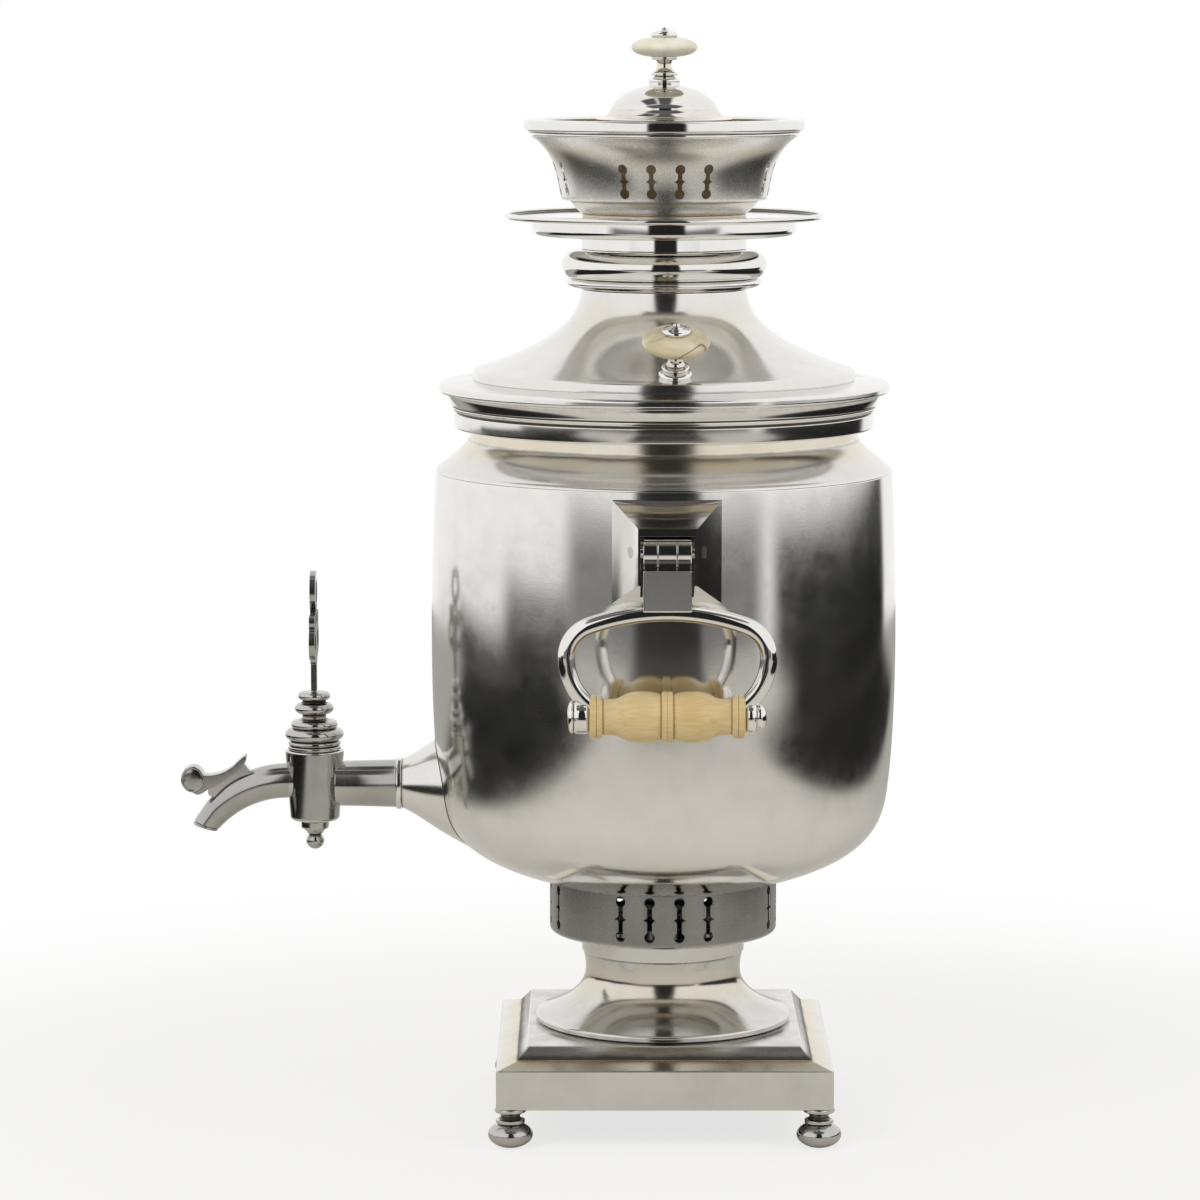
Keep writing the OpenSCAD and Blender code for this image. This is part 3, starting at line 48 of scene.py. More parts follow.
MM = 0.001
CLOSE = 0.015  # mm between two points that count as one
FINE, BROAD = 0.7, 5.0  # spreads in mm over which grooves and coves are found
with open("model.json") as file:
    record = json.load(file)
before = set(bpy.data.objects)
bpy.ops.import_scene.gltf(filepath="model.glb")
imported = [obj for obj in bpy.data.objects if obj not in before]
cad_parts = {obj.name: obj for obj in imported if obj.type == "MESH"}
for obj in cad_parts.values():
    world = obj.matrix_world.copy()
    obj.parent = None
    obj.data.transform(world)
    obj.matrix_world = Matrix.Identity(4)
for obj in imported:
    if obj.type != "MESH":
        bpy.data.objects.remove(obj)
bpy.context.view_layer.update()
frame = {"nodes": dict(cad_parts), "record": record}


def levels(node):
    """Lowest level, highest level and largest radius of a turned CAD node, in mm."""
    low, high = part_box(node)
    return low.z / MM, high.z / MM, high.x / MM


# ---- Outlines ------------------------------------------------------------------


def beside(r, z, *shifts):
    """Points set off from (r, z) by these shifts."""
    return [(r + a, z + b) for a, b in shifts]


def arc(x, y, a, b, start, end, steps=18):
    """Points of an elliptical arc round (x, y), angles in degrees."""
    turns = np.radians(np.linspace(start, end, steps + 1))
    return [(x + a * math.cos(t), y + b * math.sin(t)) for t in turns]


def bend(a, b, c, d, steps=28):
    """Points of a cubic curve from a to d, drawn towards b and c."""
    a, b, c, d = (np.array(q, float) for q in (a, b, c, d))
    shares = np.linspace(0, 1, steps + 1)
    return [
        tuple((1 - t) ** 3 * a + 3 * (1 - t) ** 2 * t * b + 3 * (1 - t) * t * t * c + t**3 * d)
        for t in shares
    ]


def spaced(points):
    """The outline without points that lie on the one before them."""
    kept = [points[0]]
    for q in points[1:]:
        if math.dist(q, kept[-1]) > CLOSE:
            kept.append(q)
    return kept


def walled(outer, thickness):
    """The closed outline of a sheet: its outer face upwards, then its inner face down."""
    p = np.array(spaced(outer), float)
    run = np.diff(p, axis=0)
    run /= np.linalg.norm(run, axis=1)[:, None]
    left = np.stack([-run[:, 1], run[:, 0]], 1)
    before, after = np.vstack([left[:1], left]), np.vstack([left, left[-1:]])
    inner = p + thickness * (before + after) / (1 + (before * after).sum(1))[:, None]
    return [tuple(q) for q in p] + [tuple(q) for q in inner[::-1]]


def eased(points, radius, closed):
    """The outline with its sharp corners rounded, and a point set close beside each round."""
    sharp, share = math.radians(24), 0.36
    p = [Vector(q) for q in spaced(points)]
    if closed and (p[0] - p[-1]).length < CLOSE:
        p.pop()
    out = []
    for i, here in enumerate(p):
        if not closed and i in (0, len(p) - 1):
            out.append(here)
            continue
        back, on = p[i - 1] - here, p[(i + 1) % len(p)] - here
        turn = math.pi - back.angle(on)
        if turn < sharp:
            out.append(here)
            continue
        cut = min(radius, share * back.length, share * on.length)
        start, end = here + back.normalized() * cut, here + on.normalized() * cut
        if back.length > 3 * cut:
            out.append(here + back.normalized() * cut * 1.5)
        for k in range(5):
            t = k / 4
            out.append((1 - t) ** 2 * start + 2 * t * (1 - t) * here + t * t * end)
        if on.length > 3 * cut:
            out.append(here + on.normalized() * cut * 1.5)
    return [(max(q.x, 0.0), q.y) for q in out]


def hollows(points, closed, spread):
    """How far each point of the outline lies inside its smoothed form, over the spread in mm."""
    p = np.array(points, float)
    ahead, behind = np.roll(p, -1, 0), np.roll(p, 1, 0)
    if not closed:
        ahead[-1], behind[0] = p[-1], p[0]
    step = np.linalg.norm(ahead - p, axis=1)
    along = np.concatenate([[0], np.cumsum(step)[:-1]])
    gap = np.abs(along[:, None] - along[None, :])
    if closed:
        gap = np.minimum(gap, step.sum() - gap)
    weight = np.exp(-0.5 * (gap / spread) ** 2) * ((step + np.roll(step, 1)) / 2 + 1e-6)
    smooth = weight @ p / weight.sum(1)[:, None]
    run = ahead - behind
    out = np.stack([run[:, 1], -run[:, 0]], 1) / (np.linalg.norm(run, axis=1)[:, None] + 1e-9)
    return ((smooth - p) * out).sum(1) / spread


# ---- Meshes --------------------------------------------------------------------


def mesh_from(name, verts, faces, uvs=None, marks=None):
    """A mesh from arrays; faces is a list of (n, k) index arrays, uvs one array of places for each."""
    mesh = bpy.data.meshes.new(name)
    mesh.vertices.add(len(verts))
    mesh.vertices.foreach_set("co", (np.asarray(verts, float) * MM).ravel())
    sizes = np.concatenate([np.full(len(f), f.shape[1]) for f in faces])
    mesh.loops.add(int(sizes.sum()))
    mesh.loops.foreach_set("vertex_index", np.concatenate([f.ravel() for f in faces]).astype(np.int32))
    mesh.polygons.add(len(sizes))
    starts = np.concatenate([[0], np.cumsum(sizes)[:-1]])
    mesh.polygons.foreach_set("loop_start", starts.astype(np.int32))
    mesh.polygons.foreach_set("use_smooth", np.ones(len(sizes), bool))
    if uvs is not None:
        layer = mesh.uv_layers.new(name="turning")
        layer.data.foreach_set("uv", (np.concatenate([u.reshape(-1, 2) for u in uvs]) * MM).ravel())
    for key, values in (marks or {}).items():
        mesh.attributes.new(key, "FLOAT", "POINT").data.foreach_set("value", np.asarray(values, np.float32))
    mesh.update(calc_edges=True)
    mesh.validate()
    return mesh


def turning(name, outline, closed, segments, ease):
    """A mesh turned round Z from an outline that runs upwards on its outer side."""
    p = np.array(eased(outline, ease, closed), float)
    crevice, cove = hollows(p, closed, FINE), hollows(p, closed, BROAD)
    angles = np.arange(segments) * 2 * math.pi / segments
    verts, rows, marks = [], [], {"crevice": [], "cove": []}
    count = 0
    for (r, z), fine, broad in zip(p, crevice, cove):
        many = 1 if r < 1e-4 else segments
        at = angles[:many] if many > 1 else np.zeros(1)
        verts.append(np.stack([r * np.cos(at), r * np.sin(at), np.full(many, z)], 1))
        rows.append(count + np.arange(many))
        marks["crevice"].append(np.full(many, fine))
        marks["cove"].append(np.full(many, broad))
        count += many
    run = np.concatenate([[0], np.cumsum(np.linalg.norm(np.diff(p, axis=0), axis=1))])
    reach = p[:, 0].max() * 2 * math.pi
    u0, u1 = np.arange(segments) / segments * reach, np.arange(1, segments + 1) / segments * reach
    faces, uvs = [], []
    for i in range(len(p) if closed else len(p) - 1):
        k = (i + 1) % len(p)
        a, b = rows[i], rows[k]
        va = run[i]
        vb = run[k] if k else run[-1] + math.dist(p[-1], p[0])
        if len(a) == 1 and len(b) == 1:
            continue
        if len(a) > 1 and len(b) > 1:
            faces.append(np.stack([a, np.roll(a, -1), np.roll(b, -1), b], 1))
            spots = [(u0, va), (u1, va), (u1, vb), (u0, vb)]
        elif len(a) == 1:
            faces.append(np.stack([np.full(segments, a[0]), np.roll(b, -1), b], 1))
            spots = [(u0, va), (u1, vb), (u0, vb)]
        else:
            faces.append(np.stack([a, np.roll(a, -1), np.full(segments, b[0])], 1))
            spots = [(u0, va), (u1, va), (u0, vb)]
        uvs.append(np.stack([np.stack([u, np.full(segments, v)], 1) for u, v in spots], 1))
    tris = [(f, u) for f, u in zip(faces, uvs) if f.shape[1] == 3]
    quads = [(f, u) for f, u in zip(faces, uvs) if f.shape[1] == 4]
    kept = []
    for group in (quads, tris):
        if group:
            kept.append((np.concatenate([f for f, _ in group]), np.concatenate([u for _, u in group])))
    return mesh_from(
        name, np.concatenate(verts), [f for f, _ in kept], [u for _, u in kept],
        {key: np.concatenate(v) for key, v in marks.items()},
    )


def outward(mesh):
    """The mesh with its faces turned outwards."""
    bm = bmesh.new()
    bm.from_mesh(mesh)
    if bm.calc_volume(signed=True) < 0:
        bmesh.ops.reverse_faces(bm, faces=bm.faces)
        bm.to_mesh(mesh)
    bm.free()
    return mesh


def dressed(mesh, body, nodes, finish):
    """The mesh as a finished piece on a body, in place of its CAD nodes."""
    outward(mesh)
    piece = bpy.data.objects.new(mesh.name, mesh)
    bpy.context.scene.collection.objects.link(piece)
    mesh.materials.clear()
    mesh.materials.append(finishes[finish])
    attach(piece, body)
    if nodes:
        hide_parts(*nodes)
    return piece


def turned(name, outline, body, nodes, finish, closed=True, segments=None, ease=None, place=None):
    """A turned piece. place is where its own axis and floor stand, as a matrix in mm."""
    shape = bpy.context.scene.samovar_shape
    mesh = turning(name, outline, closed, segments or shape.segments, ease or shape.edge_round / MM)
    if place is not None:
        placed(mesh, place)
    return dressed(mesh, body, nodes, finish)


def placed(mesh, place):
    """The mesh moved by a matrix in mm."""
    mesh.transform(Matrix.Scale(MM, 4) @ place @ Matrix.Scale(1 / MM, 4))
    return mesh


def lofted(name, rings, marks=None):
    """A closed mesh over rings that hold equally many points; a ring of one spot closes an end."""
    count = len(rings[0])
    verts = np.concatenate([np.asarray(ring, float) for ring in rings])
    at = np.arange(count)
    faces = [
        np.stack([k * count + at, k * count + (at + 1) % count, (k + 1) * count + (at + 1) % count,
                  (k + 1) * count + at], 1)
        for k in range(len(rings) - 1)
    ]
    mesh = mesh_from(name, verts, [np.concatenate(faces)], None, marks)
    bm = bmesh.new()
    bm.from_mesh(mesh)
    bmesh.ops.remove_doubles(bm, verts=bm.verts, dist=1e-7)
    bmesh.ops.holes_fill(bm, edges=[e for e in bm.edges if len(e.link_faces) == 1], sides=0)
    bmesh.ops.recalc_face_normals(bm, faces=bm.faces)
    bm.to_mesh(mesh)
    bm.free()
    return mesh


def prism(name, outline, half, axes=(0, 1, 2)):
    """A closed prism: an outline in two axes, drawn out both ways along the third."""
    flat = np.array(outline, float)
    rings = []
    for side in (-half, half):
        ring = np.zeros((len(flat), 3))
        ring[:, axes[0]], ring[:, axes[1]], ring[:, axes[2]] = flat[:, 0], flat[:, 1], side
        rings.append(ring)
    return lofted(name, rings)


def cut(mesh, cutter):
    """The mesh less another one, by exact boolean."""
    tool = bpy.data.objects.new("tool", cutter)
    bpy.context.scene.collection.objects.link(tool)
    done = applied(mesh, "BOOLEAN", operation="DIFFERENCE", solver="EXACT", object=tool)
    bpy.data.objects.remove(tool)
    return done


def joined(name, meshes):
    """Several meshes as one."""
    bm = bmesh.new()
    for mesh in meshes:
        bm.from_mesh(mesh)
    whole = bpy.data.meshes.new(name)
    bm.to_mesh(whole)
    bm.free()
    for mesh in meshes:
        bpy.data.meshes.remove(mesh)
    return whole


def hollows_marked(mesh, fine, broad):
    """Marks the grooves and coves of any mesh by how far each vertex sinks in rounds of smoothing; the groove
    mark drives painted shade.
    """
    count = len(mesh.vertices)
    co = np.empty(count * 3)
    mesh.vertices.foreach_get("co", co)
    co = co.reshape(-1, 3)
    ends = np.empty(len(mesh.edges) * 2, np.int32)
    mesh.edges.foreach_get("vertices", ends)
    a, b = ends.reshape(-1, 2).T
    degree = np.maximum(np.bincount(np.concatenate([a, b]), minlength=count), 1)[:, None]
    normal = np.empty(count * 3)
    mesh.vertices.foreach_get("normal", normal)
    normal = normal.reshape(-1, 3)
    at = co.copy()
    for key, rounds, gain in (("crevice", fine, 900.0), ("cove", broad, 260.0)):
        for _ in range(rounds):
            total = np.zeros_like(at)
            np.add.at(total, a, at[b])
            np.add.at(total, b, at[a])
            at = 0.4 * at + 0.6 * total / degree
        depth = ((at - co) * normal).sum(1) * gain
        spot = mesh.attributes.get(key) or mesh.attributes.new(key, "FLOAT", "POINT")
        spot.data.foreach_set("value", depth.astype(np.float32))
    return mesh


def crisp(mesh, angle=38.0):
    """Smooth shading with the edges over the angle kept sharp."""
    bm = bmesh.new()
    bm.from_mesh(mesh)
    limit = math.radians(angle)
    for face in bm.faces:
        face.smooth = True
    for edge in bm.edges:
        edge.smooth = len(edge.link_faces) == 2 and edge.calc_face_angle(0) < limit
    bm.to_mesh(mesh)
    bm.free()
    return mesh


def applied(mesh, kind, **settings):
    """The mesh with one modifier applied."""
    holder = bpy.data.objects.new(mesh.name, mesh)
    bpy.context.scene.collection.objects.link(holder)
    modifier = holder.modifiers.new("made", kind)
    for key, value in settings.items():
        setattr(modifier, key, value)
    seen = holder.evaluated_get(bpy.context.evaluated_depsgraph_get())
    done = bpy.data.meshes.new_from_object(seen)
    done.name = mesh.name
    bpy.data.objects.remove(holder)
    return done


def filed(mesh, width, angle=24.0, steps=2):
    """The mesh with its edges over the angle rounded by the width in mm, flat faces kept flat."""
    bm = bmesh.new()
    bm.from_mesh(mesh)
    bmesh.ops.remove_doubles(bm, verts=bm.verts, dist=2e-6)
    bmesh.ops.dissolve_limit(
        bm, angle_limit=math.radians(0.6), verts=bm.verts, edges=bm.edges, delimit=set()
    )
    sharp = [e for e in bm.edges if len(e.link_faces) == 2 and e.calc_face_angle(0) > math.radians(angle)]
    bmesh.ops.bevel(
        bm, geom=sharp, offset=width * MM, offset_type="OFFSET", segments=steps, profile=0.5,
        affect="EDGES", clamp_overlap=True, harden_normals=False,
    )
    bmesh.ops.triangulate(bm, faces=[f for f in bm.faces if len(f.verts) > 4])
    bmesh.ops.remove_doubles(bm, verts=bm.verts, dist=1e-6)
    bm.to_mesh(mesh)
    bm.free()
    return applied(crisp(mesh, 50.0), "WEIGHTED_NORMAL", keep_sharp=True, weight=100)


def from_cad(name, node):
    """A merged copy of a CAD node's mesh."""
    mesh = frame["nodes"][node].data.copy()
    mesh.name = name
    mesh.materials.clear()
    bm = bmesh.new()
    bm.from_mesh(mesh)
    bmesh.ops.remove_doubles(bm, verts=bm.verts, dist=2e-6)
    bm.to_mesh(mesh)
    bm.free()
    return mesh


# ---- Shader maths ----------------------------------------------------------------


class Term:
    """A socket of a node tree that adds Math nodes when it is calculated with."""

    def __init__(self, owner, socket):
        self.owner, self.socket = owner, socket

    def maths(self, operation, a, b=0.0, clamp=False):
        """What a Math node makes of a and b."""
        node = self.owner.add("ShaderNodeMath", {"operation": operation, "use_clamp": clamp}, {0: a, 1: b})
        return node["Value"]

    def __add__(self, other):
        return self.maths("ADD", self, other)

    def __sub__(self, other):
        return self.maths("SUBTRACT", self, other)

    def __rsub__(self, other):
        return self.maths("SUBTRACT", other, self)

    def __mul__(self, other):
        return self.maths("MULTIPLY", self, other)

    def __truediv__(self, other):
        return self.maths("DIVIDE", self, other)

    def __rtruediv__(self, other):
        return self.maths("DIVIDE", other, self)

    def __pow__(self, other):
        return self.maths("POWER", self, other)

    def __abs__(self):
        return self.maths("ABSOLUTE", self)

    def floor(self):
        """The whole number under the value."""
        return self.maths("FLOOR", self)

    def sine(self):
        """The sine of the value in radians."""
        return self.maths("SINE", self)

    def most(self, other):
        """The larger of both values."""
        return self.maths("MAXIMUM", self, other)

    def kept(self):
        """The value held between 0 and 1."""
        return self.maths("ADD", self, 0.0, clamp=True)

    def ramp(self, low, high):
        """0 at low and 1 at high, with soft ends."""
        node = self.owner.add(
            "ShaderNodeMapRange", {"interpolation_type": "SMOOTHSTEP"},
            {"Value": self, "From Min": low, "From Max": high},
        )
        return node["Result"]

    __radd__ = __add__
    __rmul__ = __mul__


class Added:
    """A node whose outputs are read as terms."""

    def __init__(self, owner, node):
        self.owner, self.node = owner, node

    def __getitem__(self, key):
        return Term(self.owner, self.node.outputs[key])


class Tree:
    """A node tree that nodes are added to."""

    def __init__(self, tree):
        self.tree = tree
        tree.nodes.clear()

    def add(self, kind, settings=None, inputs=None):
        """A new node with these settings; an input is linked to a term, or set to a value."""
        node = self.tree.nodes.new(kind)
        for key, value in (settings or {}).items():
            setattr(node, key, value)
        for key, value in (inputs or {}).items():
            if isinstance(value, Term):
                self.tree.links.new(value.socket, node.inputs[key])
            else:
                node.inputs[key].default_value = value
        return Added(self, node)


class Growth(Tree):
    """A Geometry Nodes group with named inputs, grown on a mesh and turned into a plain mesh."""

    def __init__(self, name, **sockets):
        super().__init__(bpy.data.node_groups.new(name, "GeometryNodeTree"))
        face = self.tree.interface
        face.new_socket("Geometry", in_out="INPUT", socket_type="NodeSocketGeometry")
        self.keys = {}
        for label, kind in sockets.items():
            socket = face.new_socket(label, in_out="INPUT", socket_type="NodeSocket" + kind)
            self.keys[label] = socket.identifier
        face.new_socket("Geometry", in_out="OUTPUT", socket_type="NodeSocketGeometry")
        self.given = self.add("NodeGroupInput")

    def ends(self, geometry):
        """Closes the group: instances made real, the given finish set."""
        real = self.add("GeometryNodeRealizeInstances", {}, {"Geometry": geometry})["Geometry"]
        inputs = {"Geometry": real, "Material": self.given["Finish"]}
        self.add("NodeGroupOutput", {}, {
            "Geometry": self.add("GeometryNodeSetMaterial", {}, inputs)["Geometry"]})
        return self

    def grown(self, name, base, **values):
        """The mesh that the group makes of the base mesh with these inputs."""
        holder = bpy.data.objects.new(name, base)
        bpy.context.scene.collection.objects.link(holder)
        modifier = holder.modifiers.new("grow", "NODES")
        modifier.node_group = self.tree
        for label, value in values.items():
            modifier[self.keys[label]] = value
        seen = holder.evaluated_get(bpy.context.evaluated_depsgraph_get())
        mesh = bpy.data.meshes.new_from_object(seen)
        mesh.name = name
        bpy.data.objects.remove(holder)
        return mesh


class Paint(Tree):
    """A material's node tree."""

    def __init__(self, name):
        self.material = bpy.data.materials.new(name)
        self.material.use_nodes = True
        super().__init__(self.material.node_tree)
        self.at = self.add("ShaderNodeTexCoord")["Object"]

    def mark(self, name):
        """A value that the mesh holds at its vertices, such as crevice or cove."""
        return self.add("ShaderNodeAttribute", {"attribute_name": name})["Fac"]

    def scaled(self, vector, scale, turn=(0, 0, 0)):
        """The places turned and stretched, for noise that runs along one axis."""
        inputs = {"Vector": vector, "Scale": scale, "Rotation": turn}
        return self.add("ShaderNodeMapping", {}, inputs)["Vector"]

    def noise(self, vector, scale, detail=2.0, roughness=0.5, distortion=0.0):
        """Noise of about 0 to 1 over these places."""
        inputs = {"Vector": vector, "Scale": scale, "Detail": detail, "Roughness": roughness,
                  "Distortion": distortion}
        return self.add("ShaderNodeTexNoise", {}, inputs)["Fac"]

    def blend(self, share, a, b):
        """Colour a, with that share of colour b."""
        a, b = ((*c, 1.0) if isinstance(c, tuple) else c for c in (a, b))
        return self.add("ShaderNodeMix", {"data_type": "RGBA"}, {0: share, 6: a, 7: b})[2]

    def bump(self, height, depth, strength=1.0, normal=None):
        """The normal of a height, with its depth in metres, on top of another normal."""
        inputs = {"Height": height, "Distance": depth, "Strength": strength}
        if normal is not None:
            inputs["Normal"] = normal
        return self.add("ShaderNodeBump", {}, inputs)["Normal"]

    def done(self, shader):
        """The material with this shader as its surface."""
        self.add("ShaderNodeOutputMaterial", {}, {"Surface": shader})
        return self.material

    def surface(self, **inputs):
        """The material of one Principled shader with these inputs."""
        named = {key.replace("_", " ").title(): value for key, value in inputs.items()}
        return self.done(self.add("ShaderNodeBsdfPrincipled", {}, named)["BSDF"])


finishes = {}


def silver(name, bright, grey=0.0, rough=0.14, vary=0.05, brushed=0.0, grain=0.5, shade_and_dirt_amount=1.0, gold=1.0):
    """Silver plate: polish that varies, fine scratches, golden tarnish in coves, painted shade and some grime
    in the grooves.
    """
    look = bpy.context.scene.samovar_silver
    p = Paint(name)
    clouds = p.noise(p.at, 22.0, 3.0, 0.55, 0.4)
    patches = p.noise(p.at, 70.0, 4.0, 0.65)
    speckle = p.noise(p.at, 1300.0, 2.0, 0.6)
    hair = p.noise(p.scaled(p.at, (260.0, 260.0, 2600.0)), 1.0, 2.0, 0.6, 0.3)
    cross = p.noise(p.scaled(p.at, (1900.0, 140.0, 900.0), (0.5, 0.35, 0.8)), 1.0, 1.0, 0.5)
    crevice, cove = p.mark("crevice"), p.mark("cove")
    # Painted shade: the grooves darken by their crevice mark as though shade fell in them, mixed with random
    # grime patches.
    groove_shade_and_dirt = ((crevice - 0.05) * 3.2 + (patches - 0.5) * 0.7).kept() * shade_and_dirt_amount
    warm = ((cove - 0.03) * 2.6 + (clouds - 0.5) * 0.5).kept() * gold
    worn = (0.0 - crevice * 2.2).kept()
    plate = tuple(c * bright for c in look.colour)
    dull = tuple(c * bright * (0.9 - 0.1 * grey) for c in look.colour)
    colour = p.blend(patches.ramp(0.35, 0.75) * 0.5 + clouds.ramp(0.4, 0.7) * 0.3, plate, dull)
    colour = p.blend(warm * look.tarnish, colour, tuple(look.tarnish_colour))
    # The painted groove shade and grime pull the colour towards near black.
    colour = p.blend((groove_shade_and_dirt * look.groove_shade_and_dirt).kept(), colour, (0.055, 0.045, 0.036))
    colour = p.blend(worn * 0.5, colour, (0.93, 0.915, 0.88))
    roughness = (
        (clouds - 0.5) * vary + (patches - 0.5) * vary + (speckle - 0.5) * 0.06 * grain + groove_shade_and_dirt * 0.25
        + warm * 0.05 + rough
    )
    height = (speckle - 0.5) * grain * 0.5 + (hair - 0.5) * (0.4 * grain + 2.2 * brushed)
    height = height + (cross - 0.5) * 0.3 * grain
    normal = p.bump(height, 0.00003, 0.16)
    normal = p.bump(p.noise(p.at, 16.0, 2.0, 0.4), 0.0016, 0.05, normal)
    finishes[name] = p.surface(base_color=colour, metallic=1.0, roughness=roughness, normal=normal)


def bone(name, cracked):
    """Bone: cream, a little deeper in patches, with fine pores and, on an old disc, dark hair cracks."""
    p = Paint(name)
    clouds = p.noise(p.at, 60.0, 3.0, 0.6, 0.5)
    streaks = p.noise(p.scaled(p.at, (150.0, 150.0, 700.0)), 1.0, 3.0, 0.6)
    pores = p.noise(p.at, 2400.0, 1.0, 0.5)
    old, pale = ((0.56, 0.47, 0.29), (0.70, 0.63, 0.46)), ((0.80, 0.74, 0.58), (0.90, 0.87, 0.75))
    colour = p.blend(clouds.ramp(0.35, 0.7), *(old if cracked else pale))
    colour = p.blend(streaks.ramp(0.5, 0.8) * 0.35, colour, (0.74, 0.64, 0.44))
    if cracked:
        bent = p.noise(p.at, 42.0, 1.0, 0.4)
        line = abs(bent - 0.53).ramp(0.012, 0.0) * p.noise(p.at, 23.0, 0.0).ramp(0.36, 0.44)
        colour = p.blend(line * 0.9, colour, (0.10, 0.07, 0.04))
    normal = p.bump(pores + streaks * 0.6, 0.00006, 0.25)
    finishes[name] = p.surface(
        base_color=colour, roughness=streaks * 0.12 + 0.24, normal=normal, subsurface_weight=0.18,
        subsurface_radius=(0.004, 0.003, 0.002), subsurface_scale=1.0, coat_weight=0.15, coat_roughness=0.12)


def boxwood(name):
    """Pale boxwood: fibres along the grip, growth rings cut at a slant, a waxed gloss, and painted shade in
    its grooves.
    """
    p = Paint(name)
    rings = p.noise(p.scaled(p.at, (16.0, 120.0, 120.0), (0.0, 0.12, 0.2)), 1.0, 2.0, 0.5, 1.4)
    bands = (rings * 42.0).sine() * 0.5 + 0.5
    fibre = p.noise(p.scaled(p.at, (90.0, 1700.0, 1700.0)), 1.0, 3.0, 0.6)
    clouds = p.noise(p.at, 45.0, 2.0)
    colour = p.blend(bands.ramp(0.1, 0.95) * 0.55, (0.62, 0.45, 0.195), (0.69, 0.545, 0.28))
    colour = p.blend(fibre.ramp(0.45, 0.8) * 0.4, colour, (0.54, 0.37, 0.145))
    colour = p.blend(clouds.ramp(0.4, 0.75) * 0.35, colour, (0.72, 0.59, 0.345))
    # Painted shade: the grip's grooves darken by their crevice mark.
    colour = p.blend(((p.mark("crevice") - 0.06) * 4.0).kept(), colour, (0.33, 0.19, 0.07))
    normal = p.bump(fibre * 0.7 + bands * 0.3, 0.00006, 0.3)
    finishes[name] = p.surface(
        base_color=colour, roughness=fibre * 0.18 + 0.26, normal=normal, coat_weight=0.35,
        coat_roughness=0.14)


def scaled_brass(name):
    """Brass browned by heat, with pale scale."""
    p = Paint(name)
    clouds = p.noise(p.at, 40.0, 5.0, 0.7, 0.6)
    grains = p.noise(p.at, 700.0, 3.0, 0.7)
    colour = p.blend(clouds.ramp(0.35, 0.65), (0.20, 0.13, 0.07), (0.43, 0.34, 0.22))
    colour = p.blend(grains.ramp(0.55, 0.75) * 0.6, colour, (0.52, 0.47, 0.38))
    finishes[name] = p.surface(
        base_color=colour, metallic=0.75, roughness=clouds * 0.25 + 0.38, normal=p.bump(grains, 0.0002, 0.5))


def grate_iron(name):
    """Cast iron, burnt grey, with a sandy skin. Soot inside the vent ring looks the same."""
    p = Paint(name)
    clouds = p.noise(p.at, 90.0, 4.0, 0.65)
    sand = p.noise(p.at, 1500.0, 2.0, 0.6)
    colour = p.blend(clouds.ramp(0.35, 0.7), (0.07, 0.065, 0.06), (0.20, 0.17, 0.145))
    finishes[name] = p.surface(
        base_color=colour, metallic=0.6, roughness=clouds * 0.2 + 0.6, normal=p.bump(sand, 0.0003, 0.6))


# ---- Sizes and colours a user would change -------------------------------------------


class SamovarShape(bpy.types.PropertyGroup):
    """How finely pieces are turned, and the slots"""

    segments: IntProperty(
        name="Segments", description="Faces round a large turned piece", default=288, min=64, max=360)
    small_segments: IntProperty(
        name="Small segments", description="Faces round a small turned piece", default=96, min=32, max=160)
    edge_round: FloatProperty(
        name="Edge round", description="Radius of the worn edges", default=0.0003, min=0.0001, max=0.001,
        unit="LENGTH")
    slot_count: IntProperty(
        name="Slots", description="Slots in each of the four groups", default=4, min=1, max=5)
    slot_pitch: FloatProperty(
        name="Slot pitch", description="Angle from slot to slot", default=math.radians(15), subtype="ANGLE",
        min=0.15, max=0.35)


class SamovarSilver(bpy.types.PropertyGroup):
    """Colours, wear and painted groove shade of the silver"""

    colour: FloatVectorProperty(
        name="Colour", description="Colour of the clean plate", subtype="COLOR", size=3,
        default=(0.88, 0.865, 0.83), min=0, max=1)
    tarnish_colour: FloatVectorProperty(
        name="Tarnish colour", description="Colour of the thin tarnish in the coves", subtype="COLOR", size=3,
        default=(0.74, 0.62, 0.40), min=0, max=1)
    tarnish: FloatProperty(
        name="Tarnish", description="Strength of the golden tarnish", default=0.75, min=0, max=1)
    # Painted shade: how strongly the grooves are darkened, with some grime mixed in.
    groove_shade_and_dirt: FloatProperty(
        name="Dirt", description="Strength of the dark dirt in the grooves", default=0.9, min=0, max=1)


class SamovarStage(bpy.types.PropertyGroup):
    """Camera, light and floor"""

    focal: FloatProperty(name="Focal length", description="Of the camera, on a 36 mm sensor", default=139.6)
    pitch: FloatProperty(
        name="Pitch", description="How far the camera looks down", default=math.radians(7.2), subtype="ANGLE")
    distance: FloatProperty(
        name="Distance", description="From the camera to the axis", default=2.1404, unit="LENGTH")
    aim: FloatProperty(
        name="Aim", description="Height of the axis in the middle of the picture", default=0.2399,
        unit="LENGTH")
    sideways: FloatProperty(
        name="Sideways", description="How far the camera stands to the left", default=0.0292, unit="LENGTH")
    fill: FloatProperty(
        name="Fill light", description="Strength of the light from all round", default=0.62, min=0)
    floor_colour: FloatVectorProperty(
        name="Floor", description="Colour of the pale floor", subtype="COLOR", size=3,
        default=(0.80, 0.765, 0.70), min=0, max=1)


# ---- Turned pieces of the vessel -----------------------------------------------------

# In mm: the sheet of the upper pieces and of the base, and radii that neighbours share
SHEET = 1.2
BASE_SHEET = 1.5
NECK_R, LID_NECK_R, COLLAR_R, SPIGOT_R = 88.8, 37.6, 37.5, 36.0
BODY_R = levels("body_wall")[2]


